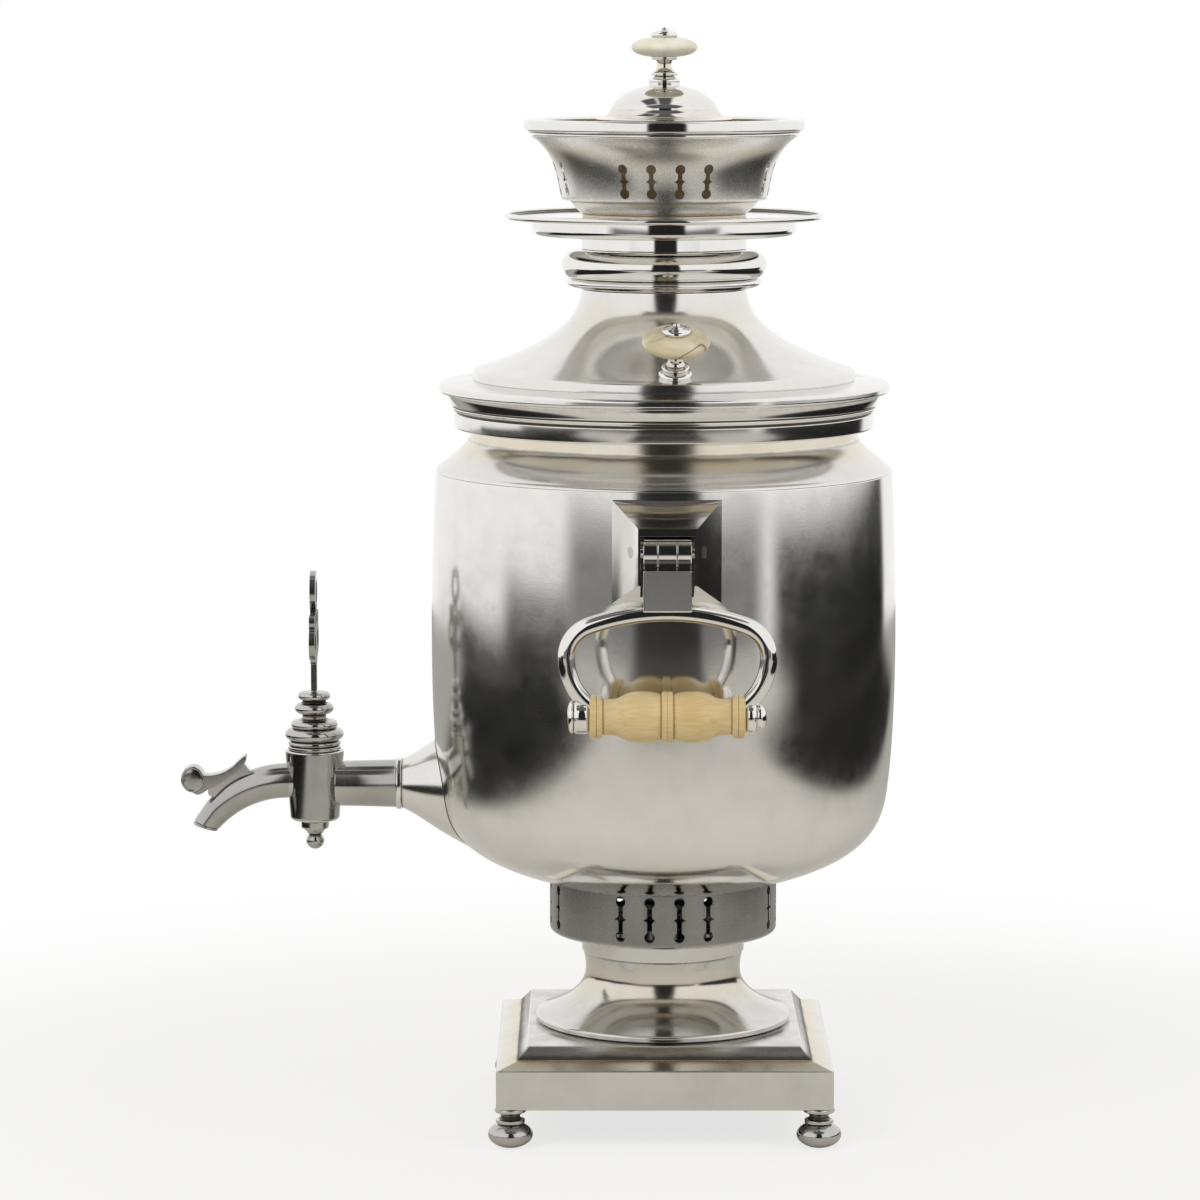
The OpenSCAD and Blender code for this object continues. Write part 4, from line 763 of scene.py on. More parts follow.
def vessel_curve():
    """Outer face of bowl, wall, shoulder and neck, from the fire tube to the mouth."""
    bowl_z = levels("body_bowl")[0]
    shoulder_z, mouth_z, _ = levels("body_shoulder")
    wall_z, foot_r, top_r, vent_r, tube_r = bowl_z + 39.5, BODY_R - 3.7, BODY_R - 2.2, 52.4, 45.0
    neck_z = shoulder_z + 15
    bowl = bend(
        (vent_r, bowl_z), (vent_r + 38, bowl_z + 9.48), (foot_r - 2.6, wall_z - 18), (foot_r, wall_z), 48)
    wall = bend((foot_r, wall_z), (BODY_R + 1.2, wall_z + 33.9), (BODY_R + 0.6, wall_z + 99),
                (top_r, shoulder_z - 0.8), 48)
    shoulder = beside(top_r, shoulder_z, (-0.2, 0), (-0.9, 0.6)) + bend(
        (top_r - 1.4, shoulder_z + 0.9), (NECK_R + 10, shoulder_z + 4.8), (NECK_R + 0.6, shoulder_z + 10.8),
        (NECK_R, neck_z), 26)
    return [(tube_r, bowl_z)] + bowl, wall, shoulder + [(NECK_R, mouth_z)]


def make_vessel():
    """The vessel's sheet in two finishes: bowl and wall, then shoulder and neck."""
    bowl, wall, shoulder = vessel_curve()
    seam = len(bowl) + len(wall) - 1
    whole = walled(bowl + wall[1:] + shoulder, SHEET)
    half = len(whole) // 2
    outer, inner = whole[:half], whole[half:][::-1]
    lower = outer[:seam] + inner[:seam][::-1]
    upper = outer[seam - 1:] + inner[seam - 1:][::-1]
    turned("vessel_body", lower, "samovar", ["body_bowl", "body_wall"], "silver_body", segments=320)
    turned("vessel_shoulder", upper, "samovar", ["body_shoulder"], "silver_shoulder")


def make_rings():
    """The cast ring round the neck, and the rim of the lid that stands on it."""
    z0, z1, top_r = levels("top_ring")
    band_r = 95.8
    ring = [(NECK_R, z0)] + beside(
        band_r, z0, (-0.9, 0), (-0.1, 0.5), (0, 1.0), (0.2, 6.9), (-0.7, 7.5), (-0.5, 7.9), (0.7, 8.3),
        (1.4, 9.4), (1.3, 9.8), (0.7, 10.0), (0.8, 10.3), (1.8, 10.6))
    lip = beside(top_r, z1, (-1.6, -2.2), (-0.7, -1.2))
    ring += bend(*beside(band_r, z0, (1.9, 10.8), (2.2, 12.4)), *lip, 10)
    ring += [(top_r, z1 - 0.7), (top_r, z1), (NECK_R, z1)]
    turned("neck_ring", ring, "samovar", ["top_ring"], "silver_ring", ease=0.25)
    z0, z1, r = levels("lid_rim")
    mouth_z, skirt_r, ring_r = z0 + 8, 87.2, 87.5
    rim = [(skirt_r - SHEET, z0), (skirt_r, z0), (skirt_r, mouth_z)]
    rim += beside(r, mouth_z, (-0.8, 0), (0, 0.7), (0, 3.0), (-0.8, 4.0))
    rim += beside(ring_r, mouth_z, (4, 4.8), (1.6, 5.4), (-SHEET, 5.4), (-SHEET, 1.6))
    rim.append((skirt_r - SHEET, mouth_z + 1.6))
    turned("lid_rim_bright", rim, "lid", ["lid_rim"], "silver_ring", ease=0.4)


def cone_curve():
    """Outer face of the lid's cone, from its edge up to its neck."""
    foot_z, top_z, r = levels("lid_cone")
    cone_z = foot_z + 5.2
    edge = beside(r, foot_z, (0, 0), (0, 2.2), (-0.5, 3.9), (-1.8, 4.9))
    return edge + bend((r - 3, cone_z), (r - 21.46, cone_z + 6.84), (LID_NECK_R + 0.9, cone_z + 15.84),
                       (LID_NECK_R, top_z), 60)


def make_lid():
    """The cone of the lid and its beaded collar."""
    turned("lid_flare", walled(cone_curve(), SHEET), "lid", ["lid_cone"], "silver_lid")
    z0, z1, r = levels("lid_collar")
    small = arc(LID_NECK_R + 1, z0 + 3.2, r - LID_NECK_R - 3.2, 2.6, -70, 50, 20)
    large = arc(LID_NECK_R + 1.6, z0 + 11.0, r - LID_NECK_R - 1.6, 6.95, -52, 88, 40)
    collar = [(LID_NECK_R, z0), (LID_NECK_R + 0.4, z0 + 1.0)] + small + large + [(LID_NECK_R, z1)]
    turned("lid_bead", walled(collar, SHEET), "lid", ["lid_collar"], "silver_bright")


def make_pedestal():
    """The spun pedestal, from its flange up to the collar inside the vent ring."""
    z0, z1, flange_r = levels("pedestal")
    throat_r, h = 35.8, z1 - z0
    foot = beside(flange_r, z0, (-1.6, 0), (-0.4, 0.8), (0, 2.6), (-0.7, 3.4))
    flare = bend((flange_r - 2.4, z0 + 4.0), (throat_r + 8.93, z0 + 0.2 * h), (throat_r, z0 + 0.36 * h),
                 (throat_r, z0 + 0.56 * h), 44)
    head = bend((throat_r, z0 + 0.6 * h), (throat_r, z0 + 0.67 * h), (COLLAR_R - 1.1, z1 - 12.0),
                (COLLAR_R - 0.5, z1 - 9.5), 12)
    outer = foot + flare + head + [(COLLAR_R, z1 - 9.0), (COLLAR_R, z1)]
    turned("pedestal_flare", walled(outer, BASE_SHEET), "samovar", ["pedestal"], "silver_satin")


def slot_outline(length):
    """Outline of a slot round its middle: two round ends, a slit and a diamond with hollow sides."""
    end_r, slit, reach = 2.25, 1.0, 2.7
    lean = math.degrees(math.acos(slit / end_r))
    diamond = [(slit, -1.5), (1.35, -0.75), (1.9, -0.3), (reach, 0.0), (1.9, 0.3), (1.35, 0.75), (slit, 1.5)]
    low = arc(0, -length / 2, end_r, end_r, -90, lean, 14)
    high = arc(0, length / 2, end_r, end_r, -lean, 90, 14)
    right = low + diamond + high
    return spaced(right + [(-x, y) for x, y in right[-2:0:-1]])


def slot_cutter(length, level, depths):
    """A cutter for one slot in a wall that faces +Y, through depths of (Y, how much wider)."""
    flat = np.array(slot_outline(length))
    run = np.roll(flat, -1, 0) - np.roll(flat, 1, 0)
    out = np.stack([run[:, 1], -run[:, 0]], 1) / np.linalg.norm(run, axis=1)[:, None]
    rings = []
    for y, grow in depths:
        at = flat + out * grow
        rings.append(np.stack([at[:, 0], np.full(len(at), y), at[:, 1] + level], 1))
    return outward(lofted("slot_cutter", rings))


def pierced(name, outline, length, level, depths, finish):
    """A turned ring with four groups of slots, its smooth faces shaded as they were turned."""
    shape = bpy.context.scene.samovar_shape
    grow = Growth(name, Cutter="Object", Groups="Int", Slots="Int", Pitch="Float", Finish="Material")
    groups, slots = grow.given["Groups"], grow.given["Slots"]
    points = grow.add("GeometryNodePoints", {}, {"Count": groups * slots})["Points"]
    order = grow.add("GeometryNodeInputIndex")["Index"]
    group = ((order + 0.5) / slots).floor()
    place = order - group * slots
    turn = 2 * math.pi / groups * group + (place - (slots - 1.0) * 0.5) * grow.given["Pitch"]
    spin = grow.add("ShaderNodeCombineXYZ", {}, {"Z": turn})["Vector"]
    tool = grow.add("GeometryNodeObjectInfo", {}, {"Object": grow.given["Cutter"]})["Geometry"]
    inputs = {"Points": points, "Instance": tool, "Rotation": spin}
    many = grow.add("GeometryNodeInstanceOnPoints", {}, inputs)["Instances"]
    whole = grow.add("GeometryNodeRealizeInstances", {}, {"Geometry": many})["Geometry"]
    less = grow.add("GeometryNodeMeshBoolean", {"operation": "DIFFERENCE", "solver": "EXACT"}, {
        "Mesh 1": grow.given["Geometry"], "Mesh 2": whole})
    grow.ends(less["Mesh"])
    cutter = bpy.data.objects.new("slot_cutter", slot_cutter(length, level, depths))
    base = outward(turning(name, outline, True, shape.segments, shape.edge_round / MM))
    mesh = grow.grown(
        name, base, Cutter=cutter, Groups=4, Slots=shape.slot_count, Pitch=shape.slot_pitch,
        Finish=finishes[finish])
    bpy.data.objects.remove(cutter)
    return turned_normals(mesh, eased(outline, shape.edge_round / MM, True))


def turned_normals(mesh, outline):
    """Sets the corner normals of turned faces from the outline, and leaves the cut faces flat."""
    p = np.array(outline, float)
    run = np.roll(p, -1, 0) - p
    side = np.stack([run[:, 1], -run[:, 0]], 1)
    side /= np.linalg.norm(side, axis=1)[:, None] + 1e-12
    area = (p[:, 0] * np.roll(p[:, 1], -1) - np.roll(p[:, 0], -1) * p[:, 1]).sum()
    side *= np.sign(area)
    corner = side + np.roll(side, 1, 0)
    corner /= np.linalg.norm(corner, axis=1)[:, None] + 1e-12
    co = np.empty(len(mesh.vertices) * 3)
    mesh.vertices.foreach_get("co", co)
    co = co.reshape(-1, 3) / MM
    rz = np.stack([np.hypot(co[:, 0], co[:, 1]), co[:, 2]], 1)
    length2 = (run**2).sum(1) + 1e-12
    t = np.clip(((rz[:, None, :] - p[None]) * run[None]).sum(2) / length2, 0, 1)
    gap = np.linalg.norm(p[None] + t[:, :, None] * run[None] - rz[:, None, :], axis=2)
    best = gap.argmin(1)
    share = t[np.arange(len(t)), best][:, None]
    flat = corner[best] * (1 - share) + np.roll(corner, -1, 0)[best] * share
    around = co[:, :2] / (rz[:, :1] + 1e-9)
    smooth = np.concatenate([around * flat[:, :1], flat[:, 1:]], 1)
    smooth /= np.linalg.norm(smooth, axis=1)[:, None]
    normals = []
    for face in mesh.polygons:
        for v in face.vertices:
            own = Vector(smooth[v])
            normals.append(own if own.dot(face.normal) > 0.9 else face.normal.copy())
    mesh.normals_split_custom_set(normals)
    return mesh


def square_ring(half, round_r, z, steps=5):
    """A square of that half width at a level, its corners rounded."""
    round_r = min(round_r, half)
    side = half - round_r
    at = []
    for k, (cx, cy) in enumerate(((1, 1), (-1, 1), (-1, -1), (1, -1))):
        corner = arc(cx * side, cy * side, round_r, round_r, 90 * k, 90 * k + 90, steps)
        at += [(x, y, z) for x, y in corner]
    return at


def make_plinth():
    """The square plinth of sheet, open below: sides, a golden slope, a bevel with a painted dark reflection,
    and a duller top.
    """
    z0, z1, half = levels("plinth")
    lip, thick, side_h, bevel_h, bevel_in, top_in = 14.0, BASE_SHEET, 18, 5.8, 9.1, 14
    # Painted reflection: dark raises the bevel's crevice mark, so the bevel is painted nearly black like the
    # dark ceiling it mirrors.
    dark, dull, golden = 0.36, 0.09, 0.12
    side = [(half, z0), (half, z0 + side_h), (half - bevel_in, z1 - bevel_h), (half - top_in, z1), (0, z1)]
    form = [(half - lip, z0)] + side + [
        (0, z1 - thick), (half - top_in - 0.4, z1 - thick), (half - bevel_in - 0.8, z1 - bevel_h - thick),
        (half - thick, z0 + side_h - 1), (half - thick, z0 + thick), (half - lip, z0 + thick)]
    p = eased(form, 0.45, True)
    near, core = 0.2, 60
    bevel_z, slope_r = z1 - bevel_h + near, half - bevel_in - near
    top = np.array([z > z1 - near for w, z in p])
    bevel = np.array([bevel_z < z < z1 - near and w > core for w, z in p])
    slope = np.array([z0 + side_h - 0.5 < z < bevel_z and w > slope_r for w, z in p])
    rings = [square_ring(max(w, 0.01), 1.1, z) for w, z in p + p[:1]]
    # The bevel's share of the crevice mark is a painted dark reflection.
    marks = {
        "crevice": hollows(p, True, FINE) + dark * bevel + dull * top,
        "cove": hollows(p, True, BROAD) + golden * slope}
    marks = {key: np.repeat(np.append(v, v[0]), len(rings[0])) for key, v in marks.items()}
    dressed(lofted("plinth_box", rings, marks), "samovar", ["plinth"], "silver_plinth")


def make_feet():
    """The four ball feet, one turned foot grown at each corner."""
    shape = bpy.context.scene.samovar_shape
    low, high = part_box("foot_front_left")
    x, y = (low.x + high.x) / 2, (low.y + high.y) / 2
    source = turning("ball_foot", foot_outline(), False, shape.small_segments, 0.2)
    foot = bpy.data.objects.new("ball_foot", outward(source))
    corners = bpy.data.meshes.new("corners")
    corners.from_pydata([(x, y, 0), (-x, y, 0), (-x, -y, 0), (x, -y, 0)], [], [])
    grow = Growth("feet", Foot="Object", Finish="Material")
    shown = grow.add("GeometryNodeObjectInfo", {}, {"Object": grow.given["Foot"]})["Geometry"]
    turn = grow.add("GeometryNodeInputIndex")["Index"] * 1.9
    spin = grow.add("ShaderNodeCombineXYZ", {}, {"Z": turn})["Vector"]
    inputs = {"Points": grow.given["Geometry"], "Instance": shown, "Rotation": spin}
    many = grow.add("GeometryNodeInstanceOnPoints", {}, inputs)["Instances"]
    mesh = grow.ends(many).grown("ball_feet", corners, Foot=foot, Finish=finishes["silver_foot"])
    bpy.data.objects.remove(foot)
    nodes = ["foot_front_left", "foot_front_right", "foot_rear_left", "foot_rear_right"]
    dressed(mesh, "samovar", nodes, "silver_foot")


def make_vent_ring():
    """The pierced ring under the bowl: brushed outside, sooty inside, satin below."""
    z0, z1, r = levels("vent_ring")
    edge, sooty, satin = 2.2, 1, 2
    outer = [(COLLAR_R - BASE_SHEET, z0), (r - edge, z0)] + arc(
        r - edge, z0 + edge, edge, edge, -90, 0, 8) + [(r, z1)]
    mesh = pierced(
        "vent_ring_pierced", walled(outer, BASE_SHEET), 16.0, z0 + 0.54 * (z1 - z0),
        ((r - 9, 0.0), (r - 0.3, 0.0), (r + 0.6, 0.8)), "silver_brushed")
    ring = dressed(mesh, "samovar", ["vent_ring"], "silver_brushed").data
    ring.materials.append(finishes["grate_iron"])
    ring.materials.append(finishes["silver_satin"])
    for face in ring.polygons:
        x, y, z = face.center / MM
        far = math.hypot(x, y)
        outwards = (x * face.normal.x + y * face.normal.y) / far
        if face.normal.z < -0.7 and z < z0 + 1.2:
            face.material_index = satin
        elif far < r - 0.2 and z > z0 + 0.9 and outwards < 0.3:
            face.material_index = sooty


def make_gallery():
    """The pierced gallery of the crown: a cove, then a wall that flares out to the rim."""
    z0, z1, _ = levels("crown_gallery")
    wide, cove_h, rim_r = 10.9, 8.2, 61.0
    foot_z, wall_r, h = z0 + cove_h, SPIGOT_R + wide, z1 - z0 - cove_h
    cove = [(SPIGOT_R + SHEET, z0), (SPIGOT_R + SHEET, z0 + 1.2)] + bend(
        (SPIGOT_R + SHEET + 0.4, z0 + 1.5), (SPIGOT_R + 0.31 * wide, z0 + 0.3 * cove_h),
        (SPIGOT_R + 0.41 * wide, foot_z - 0.54 * cove_h), (SPIGOT_R + 0.65 * wide, foot_z - 1), 16)
    wall = [(SPIGOT_R + 0.93 * wide, foot_z - 0.7)] + bend(
        (wall_r, foot_z), (wall_r + 0.21 * wide, foot_z + 0.4 * h), (wall_r + 0.28 * wide, foot_z + 0.75 * h),
        (rim_r, z1 - 0.1), 40)
    mesh = pierced(
        "gallery_pierced", walled(cove + wall, SHEET), 11.0, foot_z + 0.31 * h,
        ((wall_r - 8, 0.0), (wall_r + 7, 0.0)), "silver_gallery")
    dressed(mesh, "crown", ["crown_gallery"], "silver_gallery")


def make_crown():
    """The turned sheets of the crown: sleeve, skirt, beaded plate and rim."""
    z0, z1, collar_r = levels("crown_sleeve")
    crown_z, skirt_z, inner_r = z0 + 10, levels("crown_skirt")[0], SPIGOT_R - SHEET
    sleeve = [
        (inner_r, z0), (SPIGOT_R, z0), (SPIGOT_R, crown_z), (collar_r, crown_z), (collar_r, skirt_z),
        (SPIGOT_R, skirt_z), (SPIGOT_R, z1), (inner_r, z1)]
    turned("crown_neck", sleeve, "crown", ["crown_sleeve"], "silver_bright")
    z0, z1, r = levels("crown_skirt")
    skirt = [(SPIGOT_R, z0), (r - 3, z0)] + arc(r - 3, z0 + 3, 3, 3, -90, 0, 10) + [(r, z1)]
    turned("crown_drum", walled(skirt, SHEET), "crown", ["crown_skirt"], "silver_bright")
    z0, z1, r = levels("crown_plate")
    bead = (z1 - z0) / 2
    plate = [(SPIGOT_R, z0), (r - 2 * bead, z0), (r - 2 * bead + 0.3, z0 + 0.15)] + arc(
        r - bead, z0 + bead, bead, bead, -140, 175, 30) + [
        (r - 2 * bead - 0.5, z0 + SHEET), (SPIGOT_R, z0 + SHEET)]
    turned("crown_tray", plate, "crown", ["crown_plate"], "silver_bright", ease=0.2)
    z0, z1, r = levels("crown_rim")
    rim = beside(r, z0, (-6.2, 0), (-3, 0), (-2.4, 0.6), (-2.6, 1.6), (-0.9, 2.0), (0, 2.8)) + beside(
        r, z1, (0, -0.7), (-0.7, 0), (-7.6, 0), (-8.2, -0.6), (-8.2, -2.6)) + [(r - 6.2, z0 + 1.6)]
    turned("crown_seat", rim, "crown", ["crown_rim"], "silver_bright", ease=0.35)


def make_cap():
    """The domed cap, with the skirt that stands in the fire tube."""
    z0, top_z, _ = levels("chimney_cap")
    chimney_z, bore_r, dome_r, flange_r = z0 + 9, 30.5, 25.3, 31.0
    lip_z, dome_z, fit_r = chimney_z + SHEET, chimney_z + SHEET + 0.6, bore_r - 0.4
    outer = [(fit_r, z0), (fit_r, chimney_z), (flange_r, chimney_z), (flange_r, lip_z)] + bend(
        (flange_r - 0.6, lip_z + 0.1), (dome_r + 2, lip_z + 0.4), (dome_r + 0.6, lip_z + 1.4),
        (dome_r - 0.9, dome_z + 3.6), 14) + arc(0, dome_z, dome_r, top_z - dome_z, 17, 86, 44)
    inner = arc(0, dome_z, dome_r - SHEET, top_z - dome_z - SHEET, 85, 8, 30) + [
        (fit_r - SHEET, chimney_z + 0.5), (fit_r - SHEET, z0)]
    turned("cap_dome", outer + inner, "cap", ["chimney_cap"], "silver_bright", segments=192)


def make_fire_tube():
    """The fire box and chimney in one tube."""
    foot_z, chimney_z, base_r = levels("fire_tube")
    top_r, wall, cone_z = 32.0, 1.5, levels("body_bowl")[0] + 95
    neck_z, inner_r = cone_z + 70, base_r - wall
    tube = [
        (base_r - 4.5, foot_z), (base_r, foot_z), (base_r, cone_z), (top_r, neck_z), (top_r, chimney_z),
        (top_r - wall, chimney_z), (top_r - wall, neck_z), (inner_r, cone_z), (inner_r, foot_z + wall),
        (base_r - 4.5, foot_z + wall)]
    turned("fire_tube_brown", tube, "samovar", ["fire_tube"], "scaled_brass", segments=160)


def foot_outline():
    """Outline of a ball foot with its stud, from the floor up."""
    top = 18.0
    neck = [(6.5, 11.3), (6.5, 12.7)] + bend((5.0, 13.0), (3.8, 13.9), (4.4, top - 3), (5.4, top - 2), 12)
    flange = beside(0, top, (6.6, -2), (7.1, -1.5), (7.1, -0.4), (6.7, 0), (2.5, 0), (2.5, 6.5), (0, 6.5))
    return [(0, 0)] + arc(0, 5.75, 10.1, 5.93, -76, 62, 26) + neck + flange


# ---- Knobs ---------------------------------------------------------------------------

# Heights of a knob's parts in mm
STEM, DISC, NUT = 12.2, 8.8, 4.6


def knob(prefix, nodes, body, place, cracked):
    """Stem, bone disc and domed nut of a knob that stands on its place."""
    small = bpy.context.scene.samovar_shape.small_segments
    top = STEM + DISC
    stem = [(0, -2.4), (7.0, -2.4)] + arc(0, 1.34, 7.4, 2.56, -14, 54, 14) + [
        (6.0, 4.15), (6.2, 4.5), (6.1, 4.9), (5.5, 5.4)] + bend(
        (4.3, 5.75), (3.0, 7.4), (3.0, 9.6), (3.9, 10.7), 14) + [
        (5.6, 11.0), (6.0, 11.5), (6.0, STEM), (1.5, STEM), (1.5, top + 2), (0, top + 2)]
    turned(prefix + "_stem_turned", stem, body, [nodes.format("stem")], "silver_knob",
           closed=False, segments=small, place=place)
    disc = [(1.5, STEM), (6.0, STEM)] + bend(
        (6.5, STEM + 0.05), (12, STEM + 0.7), (15, STEM + 2.2), (15, STEM + 4.3), 22) + bend(
        (15, STEM + 4.3), (15, STEM + 6.8), (11, top - 0.5), (6.3, top), 22) + [(1.5, top)]
    turned(prefix + "_disc_turned", disc, body, [nodes.format("disc")],
           "bone_cracked" if cracked else "bone", segments=small, place=place)
    nut = [(0, top), (5.6, top)] + arc(0, top + 1.0, 6.3, 2.3, -20, 56, 18) + [(3.2, top + 3.05)] + bend(
        (2.6, top + 3.3), (1.6, top + 3.4), (1.5, top + 3.9), (1.25, top + 4.2), 8) + arc(
        0, top + 4.2, 1.1, 0.4, 0, 90, 6)[:-1] + [(0, top + NUT)]
    turned(prefix + "_nut_turned", nut, body, [nodes.format("cap")], "silver_knob",
           closed=False, segments=small, place=place)


def make_knobs():
    """Two knobs on the slope of the lid, and one on the cap."""
    at = np.array(cone_curve())
    reach, turn = 79.0, math.radians(2.8)
    i = int(np.argmax(at[:, 0] <= reach))
    run = at[i] - at[i - 1]
    tilt = math.atan2(run[1], -run[0])
    z = at[i - 1][1] + (reach - at[i - 1][0]) * run[1] / run[0]
    for side, word in ((0, "front"), (math.pi, "rear")):
        place = (
            Matrix.Rotation(turn + side, 4, "Z") @ Matrix.Translation((0, -reach, z))
            @ Matrix.Rotation(tilt, 4, "X")
        )
        knob("lid_knob_" + word, "lid_knob_{}_" + word, "lid", place, word == "front")
    cap_top = levels("chimney_cap")[1]
    knob("cap_knob", "cap_knob_{}", "cap", Matrix.Translation((0, 0, cap_top)), False)


# ---- Handles -------------------------------------------------------------------------

JOINTS = frame["record"]["behaviour"]["joints"]
HINGE = {joint["name"]: Vector(joint["pos_m"]) / MM for joint in JOINTS if "pos_m" in joint}

# The handle in mm, as it hangs behind the vessel: its pin, the widest place of the loop, and its parts
PIN_Y, PIN_Z = 121.0, HINGE["handle_front_swing"].z
OUT, DROP, GRIP_DROP = 6.5, 45.2, 26
GRIP_Y, LOOP_Z = PIN_Y + OUT, PIN_Z - DROP
GRIP_Z = LOOP_Z - GRIP_DROP
BAR_R, EYE_R, KNUCKLE_R, ARM_W = 4.4, 7.3, 7.0, 21.0
EYE_X, EYE_L, NUT_EYE_L = 33.85, 6.9, 4.8
ACROSS = Matrix.Rotation(math.pi / 2, 4, "Y")


def bar_path():
    """Centre line of the loop's bar, as [x, z] from the middle of its widest place."""
    a, b, corner, leg = 43.2, 19.0, 14.0, 26.0
    top_r = (a * a - 2 * a * corner + b * b) / (2 * (b - corner))
    lean = math.degrees(math.atan2(top_r - b, a - corner))
    foot = math.degrees(math.asin((GRIP_DROP - 0.75 * EYE_R) / leg))
    top = arc(0, b - top_r, top_r, top_r, 90, lean, 24)
    side = arc(a - corner, 0, corner, corner, lean, 0, 20) + arc(a - leg, 0, leg, leg, 0, -foot, 20)
    half = spaced(top + side)
    return [(-x, z) for x, z in half[:0:-1]] + half


def bar_section():
    """Section of the bar: round outside, with a flatter face between two creases inside."""
    crease, flatter = 112, 3.1
    outside = arc(0, 0, BAR_R, BAR_R, -crease, crease, 30)
    inside = arc(0, 0, flatter, BAR_R * math.sin(math.radians(crease)), 148, 212, 12)
    return [(-y, x) for x, y in outside + inside[1:-1]]


def loop_bar(name, y, z):
    """The bar of the loop, grown along its centre line."""
    grow = Growth("bar", Section="Object", Finish="Material")
    path = grow.add("GeometryNodeMeshToCurve", {}, {"Mesh": grow.given["Geometry"]})["Curve"]
    flat = grow.add("GeometryNodeObjectInfo", {}, {"Object": grow.given["Section"]})["Geometry"]
    ring = grow.add("GeometryNodeMeshToCurve", {}, {"Mesh": flat})["Curve"]
    inputs = {"Curve": path, "Profile Curve": ring, "Fill Caps": True}
    grow.ends(grow.add("GeometryNodeCurveToMesh", {}, inputs)["Mesh"])
    line = bar_path()
    steps = [(i, i + 1) for i in range(len(line) - 1)]
    base = bpy.data.meshes.new("path")
    base.from_pydata([(x * MM, y * MM, (z + h) * MM) for x, h in line], steps, [])
    rim = bar_section()
    sides = [(i, (i + 1) % len(rim)) for i in range(len(rim))]
    section = bpy.data.meshes.new("section")
    section.from_pydata([(u * MM, v * MM, 0) for u, v in rim], sides, [])
    holder = bpy.data.objects.new("section", section)
    mesh = grow.grown(name, base, Section=holder, Finish=finishes["silver_bright"])
    bpy.data.objects.remove(holder)
    return crisp(mesh, 28.0)


def arm_parts(small):
    """The folded plate of the arm, and the grooved barrel that it has on the hinge pin."""
    foot, face = DROP - 19, OUT + BAR_R + 0.4
    plate = [
        (-0.83 * KNUCKLE_R, -0.54 * KNUCKLE_R), (OUT - 5, -foot), (OUT, -foot - 0.8), (face, 1.5 - foot),
        (face, 0.1 - KNUCKLE_R), (0.5 * KNUCKLE_R, 0.1 - KNUCKLE_R), (0.5 * KNUCKLE_R, 0)]
    at_pin = Matrix.Translation((0, PIN_Y, PIN_Z))
    arm = placed(filed(prism("arm", plate, ARM_W / 2, (1, 2, 0)), 0.5), at_pin)
    groove = beside(KNUCKLE_R, 4.2, (0, -0.2), (-0.5, 0), (0, 0.2))
    half = groove + [(KNUCKLE_R, ARM_W / 2), (0.0, ARM_W / 2)]
    grooves = [(r, -x) for r, x in half[::-1]] + half
    return [arm, placed(turning("barrel", grooves, False, small, 0.3), at_pin @ ACROSS)]


def eye_part(x, length, r, small):
    """An eye of the loop round the grip's rod, from x along the rod."""
    end = x + length
    eye = [(0, x), (r - 1.4, x), (r - 0.4, x + 0.5), (r, x + 1.6), (r, end - 1.6), (r - 0.4, end - 0.5),
           (r - 1.4, end), (0, end)]
    return placed(turning("eye", eye, False, small, 0.6), Matrix.Translation((0, GRIP_Y, GRIP_Z)) @ ACROSS)


def make_loop(word, spin, small):
    """The cast loop of a handle: bar, arm and eyes in one, with a duller face on the arm."""
    parts = [
        loop_bar("bar", GRIP_Y, LOOP_Z), *arm_parts(small), eye_part(EYE_X, EYE_L, EYE_R, small),
        eye_part(-EYE_X - NUT_EYE_L, NUT_EYE_L, EYE_R - 0.2, small)]
    metal = joined("loop_" + word + "_cast", [outward(part) for part in parts])
    dull = [
        face.index for face in metal.polygons
        if abs(face.center.x) < 0.4 * ARM_W * MM and face.center.y > (GRIP_Y + BAR_R) * MM
        and face.normal.y > 0.9]
    loop = dressed(placed(metal, spin), "handle_" + word, ["loop_" + word], "silver_bright")
    loop.data.materials.append(finishes["silver_arm"])
    for index in dull:
        loop.data.polygons[index].material_index = 1


